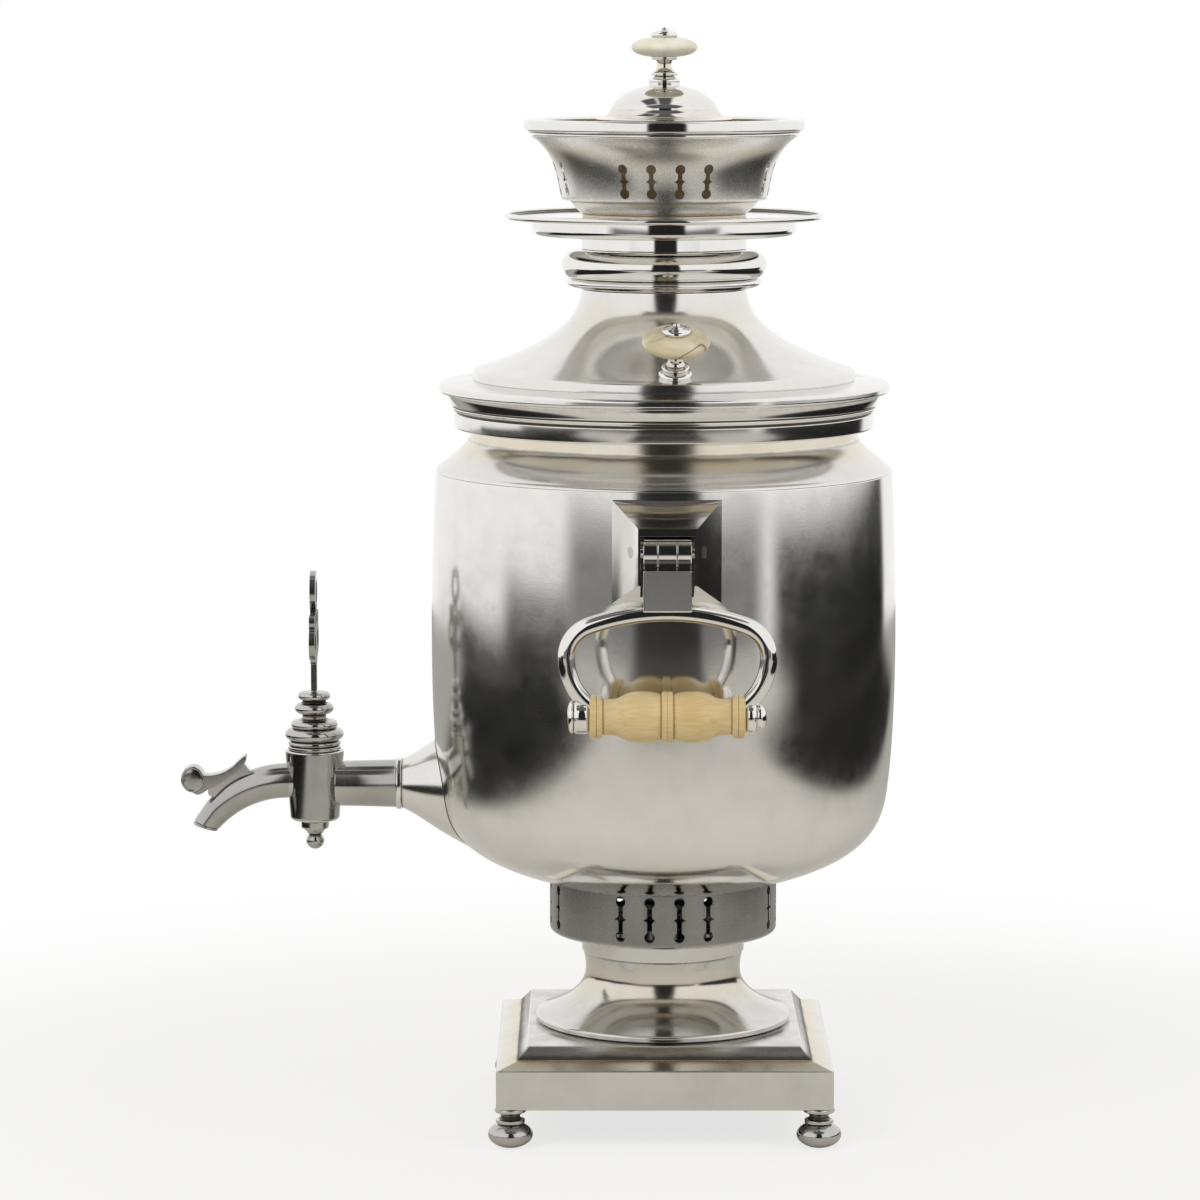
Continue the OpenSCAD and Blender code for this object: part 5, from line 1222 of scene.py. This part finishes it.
def make_grip(word, spin, small):
    """The wooden grip of a handle, with its rod and the nut on the rod's end."""
    body = "handle_" + word
    along = spin @ Matrix.Translation((0, GRIP_Y, GRIP_Z)) @ ACROSS
    head = EYE_X + EYE_L
    rod = [(0, -head + 0.5), (2.5, -head + 0.5), (2.5, head), (6.3, head), (7.0, head + 0.4)] + arc(
        0, head + 0.5, 7.1, 2.6, 6, 84, 16) + [(0, head + 3.1)]
    turned("rod_" + word, rod, body, ["grip_rod_" + word], "silver_knob",
           closed=False, segments=small, place=along)
    seat = -EYE_X - NUT_EYE_L
    nut = [(0, seat - 4.4), (1.6, seat - 4.38)] + bend(
        (2.2, seat - 4.3), (3.6, seat - 4.0), (5.3, seat - 2.9), (5.4, seat - 1.8), 12) + [
        (5.2, seat - 0.6), (4.6, seat), (0, seat)]
    turned("rod_nut_" + word + "_turned", nut, body, ["rod_nut_" + word], "silver_knob",
           closed=False, segments=small, place=along)
    length, belly, core = 67.4, 11.0, 9.45
    half = beside(belly, 0, (0.05, 0), (0.3, 0.5), (0.3, 1.4), (0, 2.1), (-0.5, 2.4), (-1.3, 2.75))
    half += bend((belly - 1.0, 3.1), (belly + 0.95, 0.1 * length), (belly + 0.5, 0.235 * length),
                 (belly - 1.5, 0.285 * length), 24)
    half += bend((belly - 1.6, 0.287 * length), (belly - 2.7, 0.315 * length), (core - 1.8, 0.335 * length),
                 (core - 1.6, 0.408 * length), 18)
    half += [
        (core - 1.9, 0.4145 * length), (core - 0.5, 0.42 * length), (core, 0.43 * length),
        (core + 0.05, 0.452 * length), (core - 0.35, 0.456 * length), (core, 0.46 * length),
        (core, length / 2 - 0.5), (core - 0.5, length / 2)]
    outline = [(2.5, -length / 2)] + [(r, -x) for r, x in half[:0:-1]] + half + [(2.5, length / 2)]
    turned("grip_" + word + "_turned", outline, body, ["grip_" + word], "boxwood",
           segments=small, place=along)


def make_handle(word, side):
    """A drop handle, turned round the vessel to its side, and its boss."""
    small = bpy.context.scene.samovar_shape.small_segments
    spin = Matrix.Rotation(side, 4, "Z")
    make_loop(word, spin, small)
    make_grip(word, spin, small)
    boss = filed(from_cad("boss_" + word + "_cast", "boss_" + word), 0.45)
    dressed(boss, "samovar", ["boss_" + word], "silver_bright")


# ---- Tap -----------------------------------------------------------------------------

# The tap in mm, on the -X side: how far the plug stands from the axis, level of the pipe, and parts
TAP_REACH, TAP_Z = -HINGE["tap_turn"].x, HINGE["tap_turn"].z
BARREL_TOP, BARREL_FOOT, BARREL_R, NARROW = TAP_Z + 15.8, TAP_Z - 16.9, 13.4, 2.1
JOINT_X, PIPE_R, TAIL_R, WAY_R = BODY_R + 16.5, 10.7, 7.8, 4.0
PLUG_R, PLUG_IN, PLUG_CLEAR, SEAT_DEPTH = 8.5, 3.4, 0.04, 0.25
SPOUT_R, SPOUT_TURN = 45.0, math.radians(56.9)
PIPE_AXIS = Matrix.Translation((0, 0, TAP_Z)) @ Matrix.Rotation(-math.pi / 2, 4, "Y")
PLUG_AXIS = Matrix.Translation((-TAP_REACH, 0, 0))


def make_flange():
    """The flared flange of the tap, cut to the curve of the vessel, with its line of solder."""
    flare = bend((34.3, BODY_R - 28), (24.0, BODY_R - 3.5), (1.355 * PIPE_R, BODY_R + 5.5),
                 (1.056 * PIPE_R, JOINT_X - 2.6), 56)
    collar = [(1.11 * PIPE_R, JOINT_X - 2.2), (1.12 * PIPE_R, JOINT_X - 0.5), (1.08 * PIPE_R, JOINT_X)]
    bore_r = TAIL_R + 0.02
    flange = [(bore_r, BODY_R - 28)] + flare + collar + [(bore_r, JOINT_X)]
    mesh = placed(outward(turning("tap_flange_fitted", flange, True, 192, 0.3)), PIPE_AXIS)
    bowl, wall, _ = vessel_curve()
    skin = [(0, bowl[0][1])] + [(r - SEAT_DEPTH, z) for r, z in bowl[1:] + wall[1:]] + [(0, wall[-1][1])]
    mesh = cut(mesh, outward(turning("vessel_form", skin, False, 320, 0.05)))
    seam = solder_line(mesh)
    dressed(crisp(mesh, 40.0), "samovar", ["tap_flange"], "silver_flange")
    dressed(seam, "samovar", [], "solder")


def make_tap_body():
    """The pipe of the tap with its tail, and the barrel that the plug turns in."""
    tail_end, barrel_end, foot_round = BODY_R - 11.0, TAP_REACH - 9.6, 1.8
    pipe = [
        (WAY_R, tail_end), (TAIL_R, tail_end), (TAIL_R, JOINT_X), (1.056 * PIPE_R, JOINT_X),
        (1.028 * PIPE_R, JOINT_X + 1), (0.985 * PIPE_R, TAP_REACH - 20), (0.97 * PIPE_R, barrel_end),
        (WAY_R, barrel_end)]
    foot = arc(BARREL_R - NARROW - foot_round, BARREL_FOOT + foot_round, foot_round, foot_round, -90, 0, 8)
    barrel = [(PLUG_R - PLUG_IN + 0.05, BARREL_FOOT)] + foot + [
        (BARREL_R, BARREL_TOP - 1.6), (BARREL_R, BARREL_TOP - 0.4), (BARREL_R - 0.5, BARREL_TOP),
        (PLUG_R + 0.05, BARREL_TOP)]
    parts = [outward(placed(turning("pipe", pipe, True, 128, 0.3), PIPE_AXIS)),
             outward(placed(turning("barrel", barrel, True, 128, 0.3), PLUG_AXIS))]
    dressed(joined("tap_body_cast", parts), "samovar", ["tap_body"], "silver_tap")


def make_plug():
    """The tapered plug with its turned head, just clear of the barrel's flat faces."""
    head_r, h, seat = BARREL_R, 27.6, BARREL_TOP + PLUG_CLEAR

    def head(*places):
        """Points of the head, each so far in from its radius and at this share of its height."""
        return [(head_r - inset, BARREL_TOP + share * h) for inset, share in places]

    def bead(inset, share, a, b, start, end, steps):
        """A round bead of the head; b is a share of its height."""
        (x, y), = head((inset, share))
        return arc(x, y, a, b * h, start, end, steps)

    cone = [(0, BARREL_FOOT - 8), (2.5, BARREL_FOOT - 8), (2.5, BARREL_FOOT), (PLUG_R - PLUG_IN, BARREL_FOOT),
            (PLUG_R, seat), (head_r - 1.9, seat)]
    plug = cone + head((1.3, 0.015), (1.3, 0.06), (2.3, 0.08), (1.4, 0.1), (1.5, 0.14), (2.5, 0.165))
    plug += bead(2.6, 0.265, 2.6, 0.094, -76, 78, 16) + bead(4.6, 0.43, 1.9, 0.068, -66, 60, 12)
    plug += head((6.4, 0.5), (7.6, 0.53), (8.0, 0.57), (7.9, 0.6)) + bead(6.9, 0.7, 2.4, 0.085, -76, 76, 16)
    plug += head((7.7, 0.79), (8.1, 0.815), (7.9, 0.84)) + bead(8, 0.91, 2, 0.07, -76, 66, 12)
    top = BARREL_TOP + 0.985 * h
    turned("tap_plug_turned", plug + [(2.6, top), (0, top)], "tap_valve", ["tap_plug"], "silver_tap",
           closed=False, segments=128, ease=0.25, place=PLUG_AXIS)


def make_tap_nut(small):
    """The washer and the acorn nut that hold the plug from below."""
    foot, seat = BARREL_FOOT, BARREL_FOOT - 0.03
    washer = [
        (2.5, foot - 4.2), (5.7, foot - 4.2), (6.3, foot - 3.6), (6.4, foot - 0.7), (6.0, seat), (2.5, seat)]
    turned("tap_washer_turned", washer, "tap_valve", ["tap_washer"], "silver_tap",
           segments=small, place=PLUG_AXIS)
    z = foot - 13.8
    nut = [(0, z)] + arc(0, z + 3.9, 4.1, 3.9, -84, 44, 20) + [
        (2.75, z + 7.0), (2.8, z + 7.2), (3.6, z + 7.5), (3.8, z + 8.0), (4.1, z + 8.4), (4.9, z + 9.2),
        (4.9, z + 9.6), (0, z + 9.6)]
    turned("tap_nut_turned", nut, "tap_valve", ["tap_nut"], "silver_tap",
           closed=False, segments=small, ease=0.25, place=PLUG_AXIS)


def make_tap():
    """The plug tap: flange, body, plug with its nut and key, and spout."""
    make_flange()
    make_tap_body()
    make_plug()
    make_tap_nut(bpy.context.scene.samovar_shape.small_segments)
    key = filed(from_cad("tap_key_cast", "tap_key"), 0.5, 40.0, steps=3)
    dressed(key, "tap_valve", ["tap_key"], "silver_tap")
    make_spout(-TAP_REACH - BARREL_R + NARROW / 2, TAP_Z + 1.3)


def solder_line(mesh):
    """The thin dark line where the tap flange meets the vessel."""
    line_r, outwards, near, clear = 0.00024, 0.00027, 0.12, 0.012
    bowl, wall, _ = vessel_curve()
    skin = np.array(bowl[1:] + wall[1:])
    bm = bmesh.new()
    bm.from_mesh(mesh)
    bm.normal_update()

    def on_skin(v):
        """Whether a vertex lies where the flange was cut, and not in its bore."""
        r = np.interp(v.co.z / MM, skin[:, 1], skin[:, 0]) - SEAT_DEPTH
        far = math.hypot(v.co.y, v.co.z - TAP_Z * MM) > clear
        return far and abs(math.hypot(v.co.x, v.co.y) / MM - r) < near

    edges = [e for e in bm.edges if e.calc_face_angle(0) > 0.35 and all(on_skin(v) for v in e.verts)]
    index = {v: i for i, v in enumerate({v for e in edges for v in e.verts})}
    base = bpy.data.meshes.new("seam")
    push = [v.co + Vector((v.co.x, v.co.y, 0)).normalized() * outwards for v in index]
    base.from_pydata(push, [[index[v] for v in e.verts] for e in edges], [])
    bm.free()
    grow = Growth("line", Radius="Float", Finish="Material")
    path = grow.add("GeometryNodeMeshToCurve", {}, {"Mesh": grow.given["Geometry"]})["Curve"]
    even = grow.add("GeometryNodeResampleCurve", {}, {"Curve": path, "Count": 260})["Curve"]
    circle = {"Resolution": 10, "Radius": grow.given["Radius"]}
    ring = grow.add("GeometryNodeCurvePrimitiveCircle", {}, circle)["Curve"]
    inputs = {"Curve": even, "Profile Curve": ring, "Fill Caps": True}
    grow.ends(grow.add("GeometryNodeCurveToMesh", {}, inputs)["Mesh"])
    return crisp(grow.grown("solder_line", base, Radius=line_r, Finish=finishes["solder"]))


def spout_tube(x0, z0):
    """The bent tube of the spout, with its bore and the thin lip of its slanted mouth."""
    turn, tilt, r0, r1, count = SPOUT_TURN, math.radians(18), 8.0, 5.7, 56
    around = np.arange(count) * 2 * math.pi / count
    mouth = np.array((x0 - SPOUT_R * math.sin(turn), 0, z0 - SPOUT_R * (1 - math.cos(turn))))
    down = np.array((-math.sin(tilt), 0, -math.cos(tilt)))

    def ring(angle, r, lead=0.0):
        """A ring of the tube at an angle of its bend."""
        centre = np.array((x0 - SPOUT_R * math.sin(angle) + lead, 0, z0 - SPOUT_R * (1 - math.cos(angle))))
        up = np.array((-math.sin(angle), 0, math.cos(angle)))
        return centre + r * (np.cos(around)[:, None] * up + np.sin(around)[:, None] * np.array((0, 1, 0)))

    def onto_mouth(points, drop):
        """The points moved along the tube to so far below the plane of the mouth."""
        way = np.array((-math.cos(turn), 0, -math.sin(turn)))
        gap = ((mouth + down * drop - points) @ down) / (way @ down)
        return points + gap[:, None] * way

    def radius(angle):
        """Outer radius of the tube, which narrows towards the mouth."""
        return r1 + (r0 - r1) * (1 - min(angle / turn, 1) ** 2)

    rings = [ring(0, r0, 8.0)] + [ring(a, radius(a)) for a in np.linspace(0, turn - 0.16, 34)]
    last = ring(turn - 0.05, radius(turn - 0.05))
    centre = last.mean(0)
    lip = ((-0.5, 1.0), (-0.12, 1.0), (0.0, 0.975), (0.0, 0.91), (0.35, 0.885), (0.5, 0.93), (0.8, 0.955),
           (1.25, 0.955), (1.55, 0.925), (1.6, 0.88))
    rings += [onto_mouth(centre + (last - centre) * share, drop) for drop, share in lip]
    inner = ring(turn - 0.05, WAY_R)
    rings += [onto_mouth(inner, drop) for drop in (1.6, 1.3, -3.0)]
    rings += [ring(a, WAY_R) for a in np.linspace(turn - 0.2, 0.02, 12)] + [ring(0, WAY_R, 8.0)]
    rings.append(rings[0])
    return crisp(lofted("spout", rings), 50.0)


def spout_scroll(x0, z0):
    """The scroll that lies on the spout: a leaf, the narrow web under it and the disc of its roll."""
    run, drop = SPOUT_R * math.sin(SPOUT_TURN), SPOUT_R * (1 - math.cos(SPOUT_TURN))

    def strip(shares, corners):
        """A smooth closed outline through shares of the bend's run and drop, sharp at some corners."""
        smooth = []
        for i in range(len(shares)):
            a, b, c, d = (np.array(shares[(i + k) % len(shares)]) for k in (-1, 0, 1, 2))
            out = (c - b) / 3 if i in corners else (c - a) / 6
            back = (c - b) / 3 if (i + 1) % len(shares) in corners else (d - b) / 6
            smooth += bend(b, b + out, c - back, c, 4)[:-1]
        return [(x0 - u * run, z0 + v * drop) for u, v in smooth]

    leaf_line = (
        (0.512, 0.598), (0.545, 0.562), (0.606, 0.462), (0.667, 0.353), (0.739, 0.262), (0.81, 0.198),
        (0.88, 0.162), (0.955, 0.139), (1.03, 0.14), (1.12, 0.12), (1.17, -0.2), (1.1273, -0.29),
        (1.066, -0.286), (0.975, -0.185), (0.885, -0.10), (0.79, 0.0), (0.71, 0.098), (0.62, 0.218),
        (0.535, 0.375), (0.512, 0.49))
    web_line = (
        (0.55, 0.40), (0.62, 0.26), (0.79, 0.05), (0.94, -0.12), (0.98, -0.24), (0.94, -0.35),
        (0.7976, -0.27), (0.6287, 0.0), (0.47, 0.19), (0.49, 0.30))
    leaf = filed(prism("leaf", strip(leaf_line, (0, 19)), 4.0, (0, 2, 1)), 0.45, 40.0, 3)
    web = crisp(prism("web", strip(web_line, ()), 2.6, (0, 2, 1)))
    face = [(2.2, -4.4), (3.4, -4.3), (4.3, -4.1), (4.45, -4.35), (4.7, -4.6), (5.1, -4.55), (5.35, -4.1)]
    disc = [(0, -4.45)] + face
    disc += [(r, -y) for r, y in disc[::-1]]
    roll = Matrix.Translation((x0 - 1.163 * run, 0, z0 + 0.05 * drop))
    tall = Matrix.Diagonal((1.0, 1.0, 1.13, 1.0))
    place = roll @ tall @ Matrix.Rotation(math.pi / 2, 4, "X")
    volute = placed(turning("volute", disc, False, 72, 0.2), place)
    return [leaf, web, crisp(volute)]


def make_spout(x0, z0):
    """The bent spout with the scroll that lies on it."""
    parts = [spout_tube(x0, z0), *spout_scroll(x0, z0)]
    whole = joined("tap_spout_cast", [outward(part) for part in parts])
    dressed(hollows_marked(whole, 1, 6), "samovar", ["tap_spout"], "silver_tap")


# ---- Stage ---------------------------------------------------------------------------


def card(name, size, place, shade, soft):
    """A dark card beside the object that only its polished faces see, soft along its edges."""
    p = Paint(name)
    parts = p.add("ShaderNodeSeparateXYZ", {}, {0: p.at})
    half_x, half_y = size[0] / 2, size[1] / 2
    across = (half_x - abs(parts["X"])).ramp(0.0, soft[0])
    along = (half_y - abs(parts["Y"])).ramp(0.0, soft[1])
    dark = p.add("ShaderNodeEmission", {}, {"Color": (shade, shade, shade, 1), "Strength": 1.0})["Emission"]
    clear = p.add("ShaderNodeBsdfTransparent")["BSDF"]
    finish = p.done(p.add("ShaderNodeMixShader", {}, {0: across * along, 1: clear, 2: dark})["Shader"])
    corners = [(-half_x, -half_y, 0), (half_x, -half_y, 0), (half_x, half_y, 0), (-half_x, half_y, 0)]
    mesh = bpy.data.meshes.new(name)
    mesh.from_pydata(corners, [], [(0, 1, 2, 3)])
    mesh.materials.append(finish)
    plane = bpy.data.objects.new(name, mesh)
    bpy.context.scene.collection.objects.link(plane)
    plane.matrix_world = place
    for kind in ("camera", "diffuse", "transmission", "volume_scatter", "shadow"):
        setattr(plane, "visible_" + kind, False)


def upright(x, y, z, facing):
    """Place of a card that stands at a point and faces the axis from that bearing in degrees."""
    return Matrix.Translation((x, y, z)) @ Matrix.Rotation(math.radians(facing), 4, "Z") @ Matrix.Rotation(
        math.radians(90), 4, "X")


def make_camera():
    """The camera, aimed at the axis from the front and a little above."""
    scene = bpy.context.scene
    look = scene.samovar_stage
    camera = bpy.data.objects.new("camera", bpy.data.cameras.new("camera"))
    scene.collection.objects.link(camera)
    camera.data.lens, camera.data.sensor_width = look.focal, 36.0
    camera.data.clip_start, camera.data.clip_end = 0.05, 50.0
    back, up = look.distance * math.cos(look.pitch), look.distance * math.sin(look.pitch)
    camera.location = (-look.sideways, -back, look.aim + up)
    camera.rotation_euler = (math.pi / 2 - look.pitch, 0, 0)
    scene.camera = camera
    scene.view_settings.view_transform = "Standard"


def make_world():
    """A white world for the camera and for reflections, and a weaker one for the fill light."""
    scene = bpy.context.scene
    world = bpy.data.worlds.new("studio")
    scene.world = world
    world.use_nodes = True
    tree = Tree(world.node_tree)
    ray = tree.add("ShaderNodeLightPath")
    shown = ray["Is Camera Ray"].most(ray["Is Glossy Ray"]).most(ray["Is Transmission Ray"])
    cool = {"Color": (0.98, 0.99, 1.0, 1), "Strength": scene.samovar_stage.fill}
    fill = tree.add("ShaderNodeBackground", {}, cool)["Background"]
    white = tree.add("ShaderNodeBackground", {}, {"Color": (1, 1, 1, 1), "Strength": 1.0})["Background"]
    both = tree.add("ShaderNodeMixShader", {}, {0: shown, 1: fill, 2: white})["Shader"]
    tree.add("ShaderNodeOutputWorld", {}, {"Surface": both})


def make_floor():
    """The pale floor, with a painted falloff of light that darkens it away from the object; it turns white
    for the camera away from the object.
    """
    look = bpy.context.scene.samovar_stage
    floor_r, sides = 1.9, 64
    p = Paint("pale_floor")
    parts = p.add("ShaderNodeSeparateXYZ", {}, {0: p.at})
    away = (parts["X"] ** 2.0 + parts["Y"] ** 2.0) ** 0.5
    grain = p.noise(p.at, 300.0, 3.0)
    low = tuple(c * 0.97 for c in look.floor_colour)
    colour = p.blend(grain.ramp(0.3, 0.7), low, tuple(look.floor_colour))
    # Painted shade: the floor's colour darkens away from the object, a painted pool of light that reflections
    # see.
    colour = p.blend(away.ramp(0.3, 1.1) * 0.75, colour, (0.50, 0.48, 0.45))
    matt = p.add("ShaderNodeBsdfDiffuse", {}, {"Color": colour})["BSDF"]
    glow = p.add("ShaderNodeEmission", {}, {"Color": (1, 1, 1, 1), "Strength": 1.0})["Emission"]
    path = p.add("ShaderNodeLightPath")
    share = path["Is Camera Ray"] * (away.ramp(0.22, 0.62) * 0.26 + 0.74)
    finish = p.done(p.add("ShaderNodeMixShader", {}, {0: share, 1: matt, 2: glow})["Shader"])
    angles = np.linspace(0, 2 * math.pi, sides, False)
    rim = [(floor_r * math.cos(t), floor_r * math.sin(t), 0) for t in angles]
    mesh = bpy.data.meshes.new("pale_floor")
    mesh.from_pydata(rim, [], [tuple(range(sides))])
    mesh.materials.append(finish)
    floor = bpy.data.objects.new("pale_floor", mesh)
    bpy.context.scene.collection.objects.link(floor)


def lying(x, y, z):
    """Place of a card that lies level at a point."""
    return Matrix.Translation((x, y, z))


def make_cards():
    """The dark cards of the room: beside, in front of and above the object."""
    card("dark_edge_left", (1.7, 0.16), upright(-1.5, 0.02, 0.0, 90), 0.012, (0.12, 0.03))
    card("dark_wall_left", (1.3, 0.34), upright(-1.35, -0.66, 0.0, -62), 0.03, (0.3, 0.07))
    card("dark_floor_left", (1.05, 1.9), lying(-0.99, -0.15, 0.003), 0.015, (0.12, 0.3))
    card("dark_wall_right", (2.7, 0.52), upright(1.3, 0.2, 0.0, 90), 0.015, (0.35, 0.06))
    card("dark_floor_right", (0.78, 2.2), lying(0.95, 0.3, 0.003), 0.015, (0.1, 0.35))
    card("dark_wall_front", (4.2, 0.62), upright(0.0, -1.6, 0.0, 0), 0.18, (0.7, 0.10))
    card("dark_room", (0.96, 2.5), upright(0.04, -1.55, 1.25, 0), 0.018, (0.09, 0.02))
    card("dark_floor_front", (0.96, 0.6), lying(0.04, -1.28, 0.003), 0.03, (0.1, 0.08))
    card("dark_ceiling", (1.7, 1.0), lying(0.0, -0.85, 1.75), 0.12, (0.25, 0.1))
    card("dark_track", (0.5, 2.1), lying(0.02, 0.5, 1.77), 0.10, (0.12, 0.2))
    card("dark_beam", (0.6, 0.9), lying(-0.45, 0.0, 1.79), 0.10, (0.15, 0.2))


def make_lamp(name, at, size, watts):
    """A square lamp that shines on the object and isn't seen in its polish."""
    lamp = bpy.data.objects.new(name, bpy.data.lights.new(name, "AREA"))
    lamp.data.shape, lamp.data.size, lamp.data.energy = "SQUARE", size, watts
    lamp.location = at
    lamp.rotation_euler = (Vector((0, 0, 0.25)) - Vector(at)).to_track_quat("-Z", "Y").to_euler()
    lamp.visible_glossy = False
    bpy.context.scene.collection.objects.link(lamp)


def make_stage():
    """Camera, world, floor, cards and lamps."""
    make_camera()
    make_world()
    make_floor()
    make_cards()
    make_lamp("key_lamp", (-1.3, -1.5, 1.5), 0.9, 17.0)
    make_lamp("side_lamp", (1.6, -0.9, 1.1), 1.0, 9.0)


# ---- Operators -----------------------------------------------------------------------


class SAMOVAR_OT_finishes(bpy.types.Operator):
    """Make the silver, bone, wood and iron finishes"""

    bl_idname = "samovar.finishes"
    bl_label = "Finishes"

    def execute(self, context):
        silver("silver_body", 0.93, rough=0.135, vary=0.13, grain=1.2, shade_and_dirt_amount=0.9, gold=0.6)
        silver("silver_shoulder", 0.86, rough=0.14, vary=0.06, grain=0.9, shade_and_dirt_amount=0.9, gold=2.0)
        silver("silver_lid", 0.90, rough=0.15, vary=0.06, grain=0.9, shade_and_dirt_amount=0.9, gold=1.3)
        silver("silver_ring", 0.91, rough=0.13, vary=0.07, grain=0.8, gold=1.6)
        silver("silver_bright", 0.94, rough=0.07, vary=0.05, grain=0.5)
        silver("silver_knob", 0.94, rough=0.06, vary=0.04, grain=0.3)
        silver("silver_satin", 0.78, grey=1.0, rough=0.13, vary=0.06, brushed=0.3, grain=0.9, gold=1.3)
        # Painted shade: the vent ring's plate is darkened to about a third, standing for the shade under the
        # bowl's overhang.
        silver("silver_brushed", 0.34, grey=1.0, rough=0.27, vary=0.08, brushed=1.4, grain=1.0, gold=0.2)
        silver("silver_gallery", 0.95, rough=0.27, vary=0.06, brushed=0.2, grain=0.9, gold=2.2)
        silver("silver_arm", 0.95, grey=1.0, rough=0.3, vary=0.06, brushed=0.3, grain=0.9, gold=0.5)
        silver("silver_plinth", 0.78, grey=1.0, rough=0.17, vary=0.07, grain=0.9, gold=0.9)
        silver("silver_aged", 0.74, grey=1.0, rough=0.2, vary=0.08, grain=1.0, shade_and_dirt_amount=1.3, gold=0.4)
        silver("silver_tap", 0.52, grey=1.0, rough=0.14, vary=0.08, grain=1.0, shade_and_dirt_amount=1.5, gold=0.5)
        silver("silver_foot", 0.6, grey=1.0, rough=0.15, vary=0.08, grain=0.9, shade_and_dirt_amount=1.8, gold=0.3)
        silver("silver_flange", 0.90, rough=0.15, vary=0.06, grain=0.7, shade_and_dirt_amount=1.0, gold=0.6)
        silver("solder", 0.12, grey=1.0, rough=0.5, grain=0.3, shade_and_dirt_amount=0.5, gold=0.0)
        bone("bone", False)
        bone("bone_cracked", True)
        boxwood("boxwood")
        scaled_brass("scaled_brass")
        grate_iron("grate_iron")
        return {"FINISHED"}


class SAMOVAR_OT_vessel(bpy.types.Operator):
    """Turn the vessel, its shoulder, the neck ring and the fire tube"""

    bl_idname = "samovar.vessel"
    bl_label = "Vessel"

    def execute(self, context):
        make_vessel()
        make_rings()
        make_fire_tube()
        return {"FINISHED"}


class SAMOVAR_OT_lid(bpy.types.Operator):
    """Turn the lid, the crown and the cap of the fire tube"""

    bl_idname = "samovar.lid"
    bl_label = "Lid, crown and cap"

    def execute(self, context):
        make_lid()
        make_crown()
        make_gallery()
        make_cap()
        return {"FINISHED"}


class SAMOVAR_OT_knobs(bpy.types.Operator):
    """Turn the knobs of lid and cap"""

    bl_idname = "samovar.knobs"
    bl_label = "Knobs"

    def execute(self, context):
        make_knobs()
        return {"FINISHED"}


class SAMOVAR_OT_base(bpy.types.Operator):
    """Make the pedestal, vent ring, plinth and feet"""

    bl_idname = "samovar.base"
    bl_label = "Base"

    def execute(self, context):
        make_pedestal()
        make_plinth()
        make_feet()
        make_vent_ring()
        return {"FINISHED"}


class SAMOVAR_OT_handles(bpy.types.Operator):
    """Make the bosses and drop handles"""

    bl_idname = "samovar.handles"
    bl_label = "Handles"

    def execute(self, context):
        make_handle("front", math.pi)
        make_handle("rear", 0.0)
        return {"FINISHED"}


class SAMOVAR_OT_tap(bpy.types.Operator):
    """Make the plug tap, its flange and its spout"""

    bl_idname = "samovar.tap"
    bl_label = "Tap"

    def execute(self, context):
        make_tap()
        return {"FINISHED"}


class SAMOVAR_OT_stage(bpy.types.Operator):
    """Set up the camera, the floor and the light"""

    bl_idname = "samovar.stage"
    bl_label = "Stage"

    def execute(self, context):
        make_stage()
        return {"FINISHED"}


class SAMOVAR_PT_panel(bpy.types.Panel):
    """The settings, and a button for each step"""

    bl_label = "Samovar"
    bl_idname = "SAMOVAR_PT_panel"
    bl_space_type = "VIEW_3D"
    bl_region_type = "UI"
    bl_category = "Samovar"

    def draw(self, context):
        for group in (context.scene.samovar_shape, context.scene.samovar_silver, context.scene.samovar_stage):
            box = self.layout.box()
            for key in group.__annotations__:
                box.prop(group, key)
        for operator in OPERATORS:
            self.layout.operator(operator.bl_idname)


GROUPS = {"samovar_shape": SamovarShape, "samovar_silver": SamovarSilver, "samovar_stage": SamovarStage}
OPERATORS = (
    SAMOVAR_OT_finishes, SAMOVAR_OT_vessel, SAMOVAR_OT_lid, SAMOVAR_OT_knobs, SAMOVAR_OT_base,
    SAMOVAR_OT_handles, SAMOVAR_OT_tap, SAMOVAR_OT_stage)


def register():
    """Makes the panel, its operators and its settings known to Blender."""
    for cls in (*GROUPS.values(), *OPERATORS, SAMOVAR_PT_panel):
        bpy.utils.register_class(cls)
    for key, group in GROUPS.items():
        setattr(bpy.types.Scene, key, PointerProperty(type=group))


def unregister():
    """Takes them away again."""
    for key in GROUPS:
        delattr(bpy.types.Scene, key)
    for cls in (SAMOVAR_PT_panel, *OPERATORS, *GROUPS.values()):
        bpy.utils.unregister_class(cls)


def main():
    """Makes every piece and dresses the CAD nodes that stay."""
    register()
    for operator in OPERATORS:
        section, name = operator.bl_idname.split(".")
        getattr(getattr(bpy.ops, section), name)()
    for node, piece in frame["nodes"].items():
        if not piece.hide_render:
            piece.data.materials.clear()
            piece.data.materials.append(finishes["grate_iron" if node == "grate" else "silver_aged"])


if __name__ == "__main__":
    main()
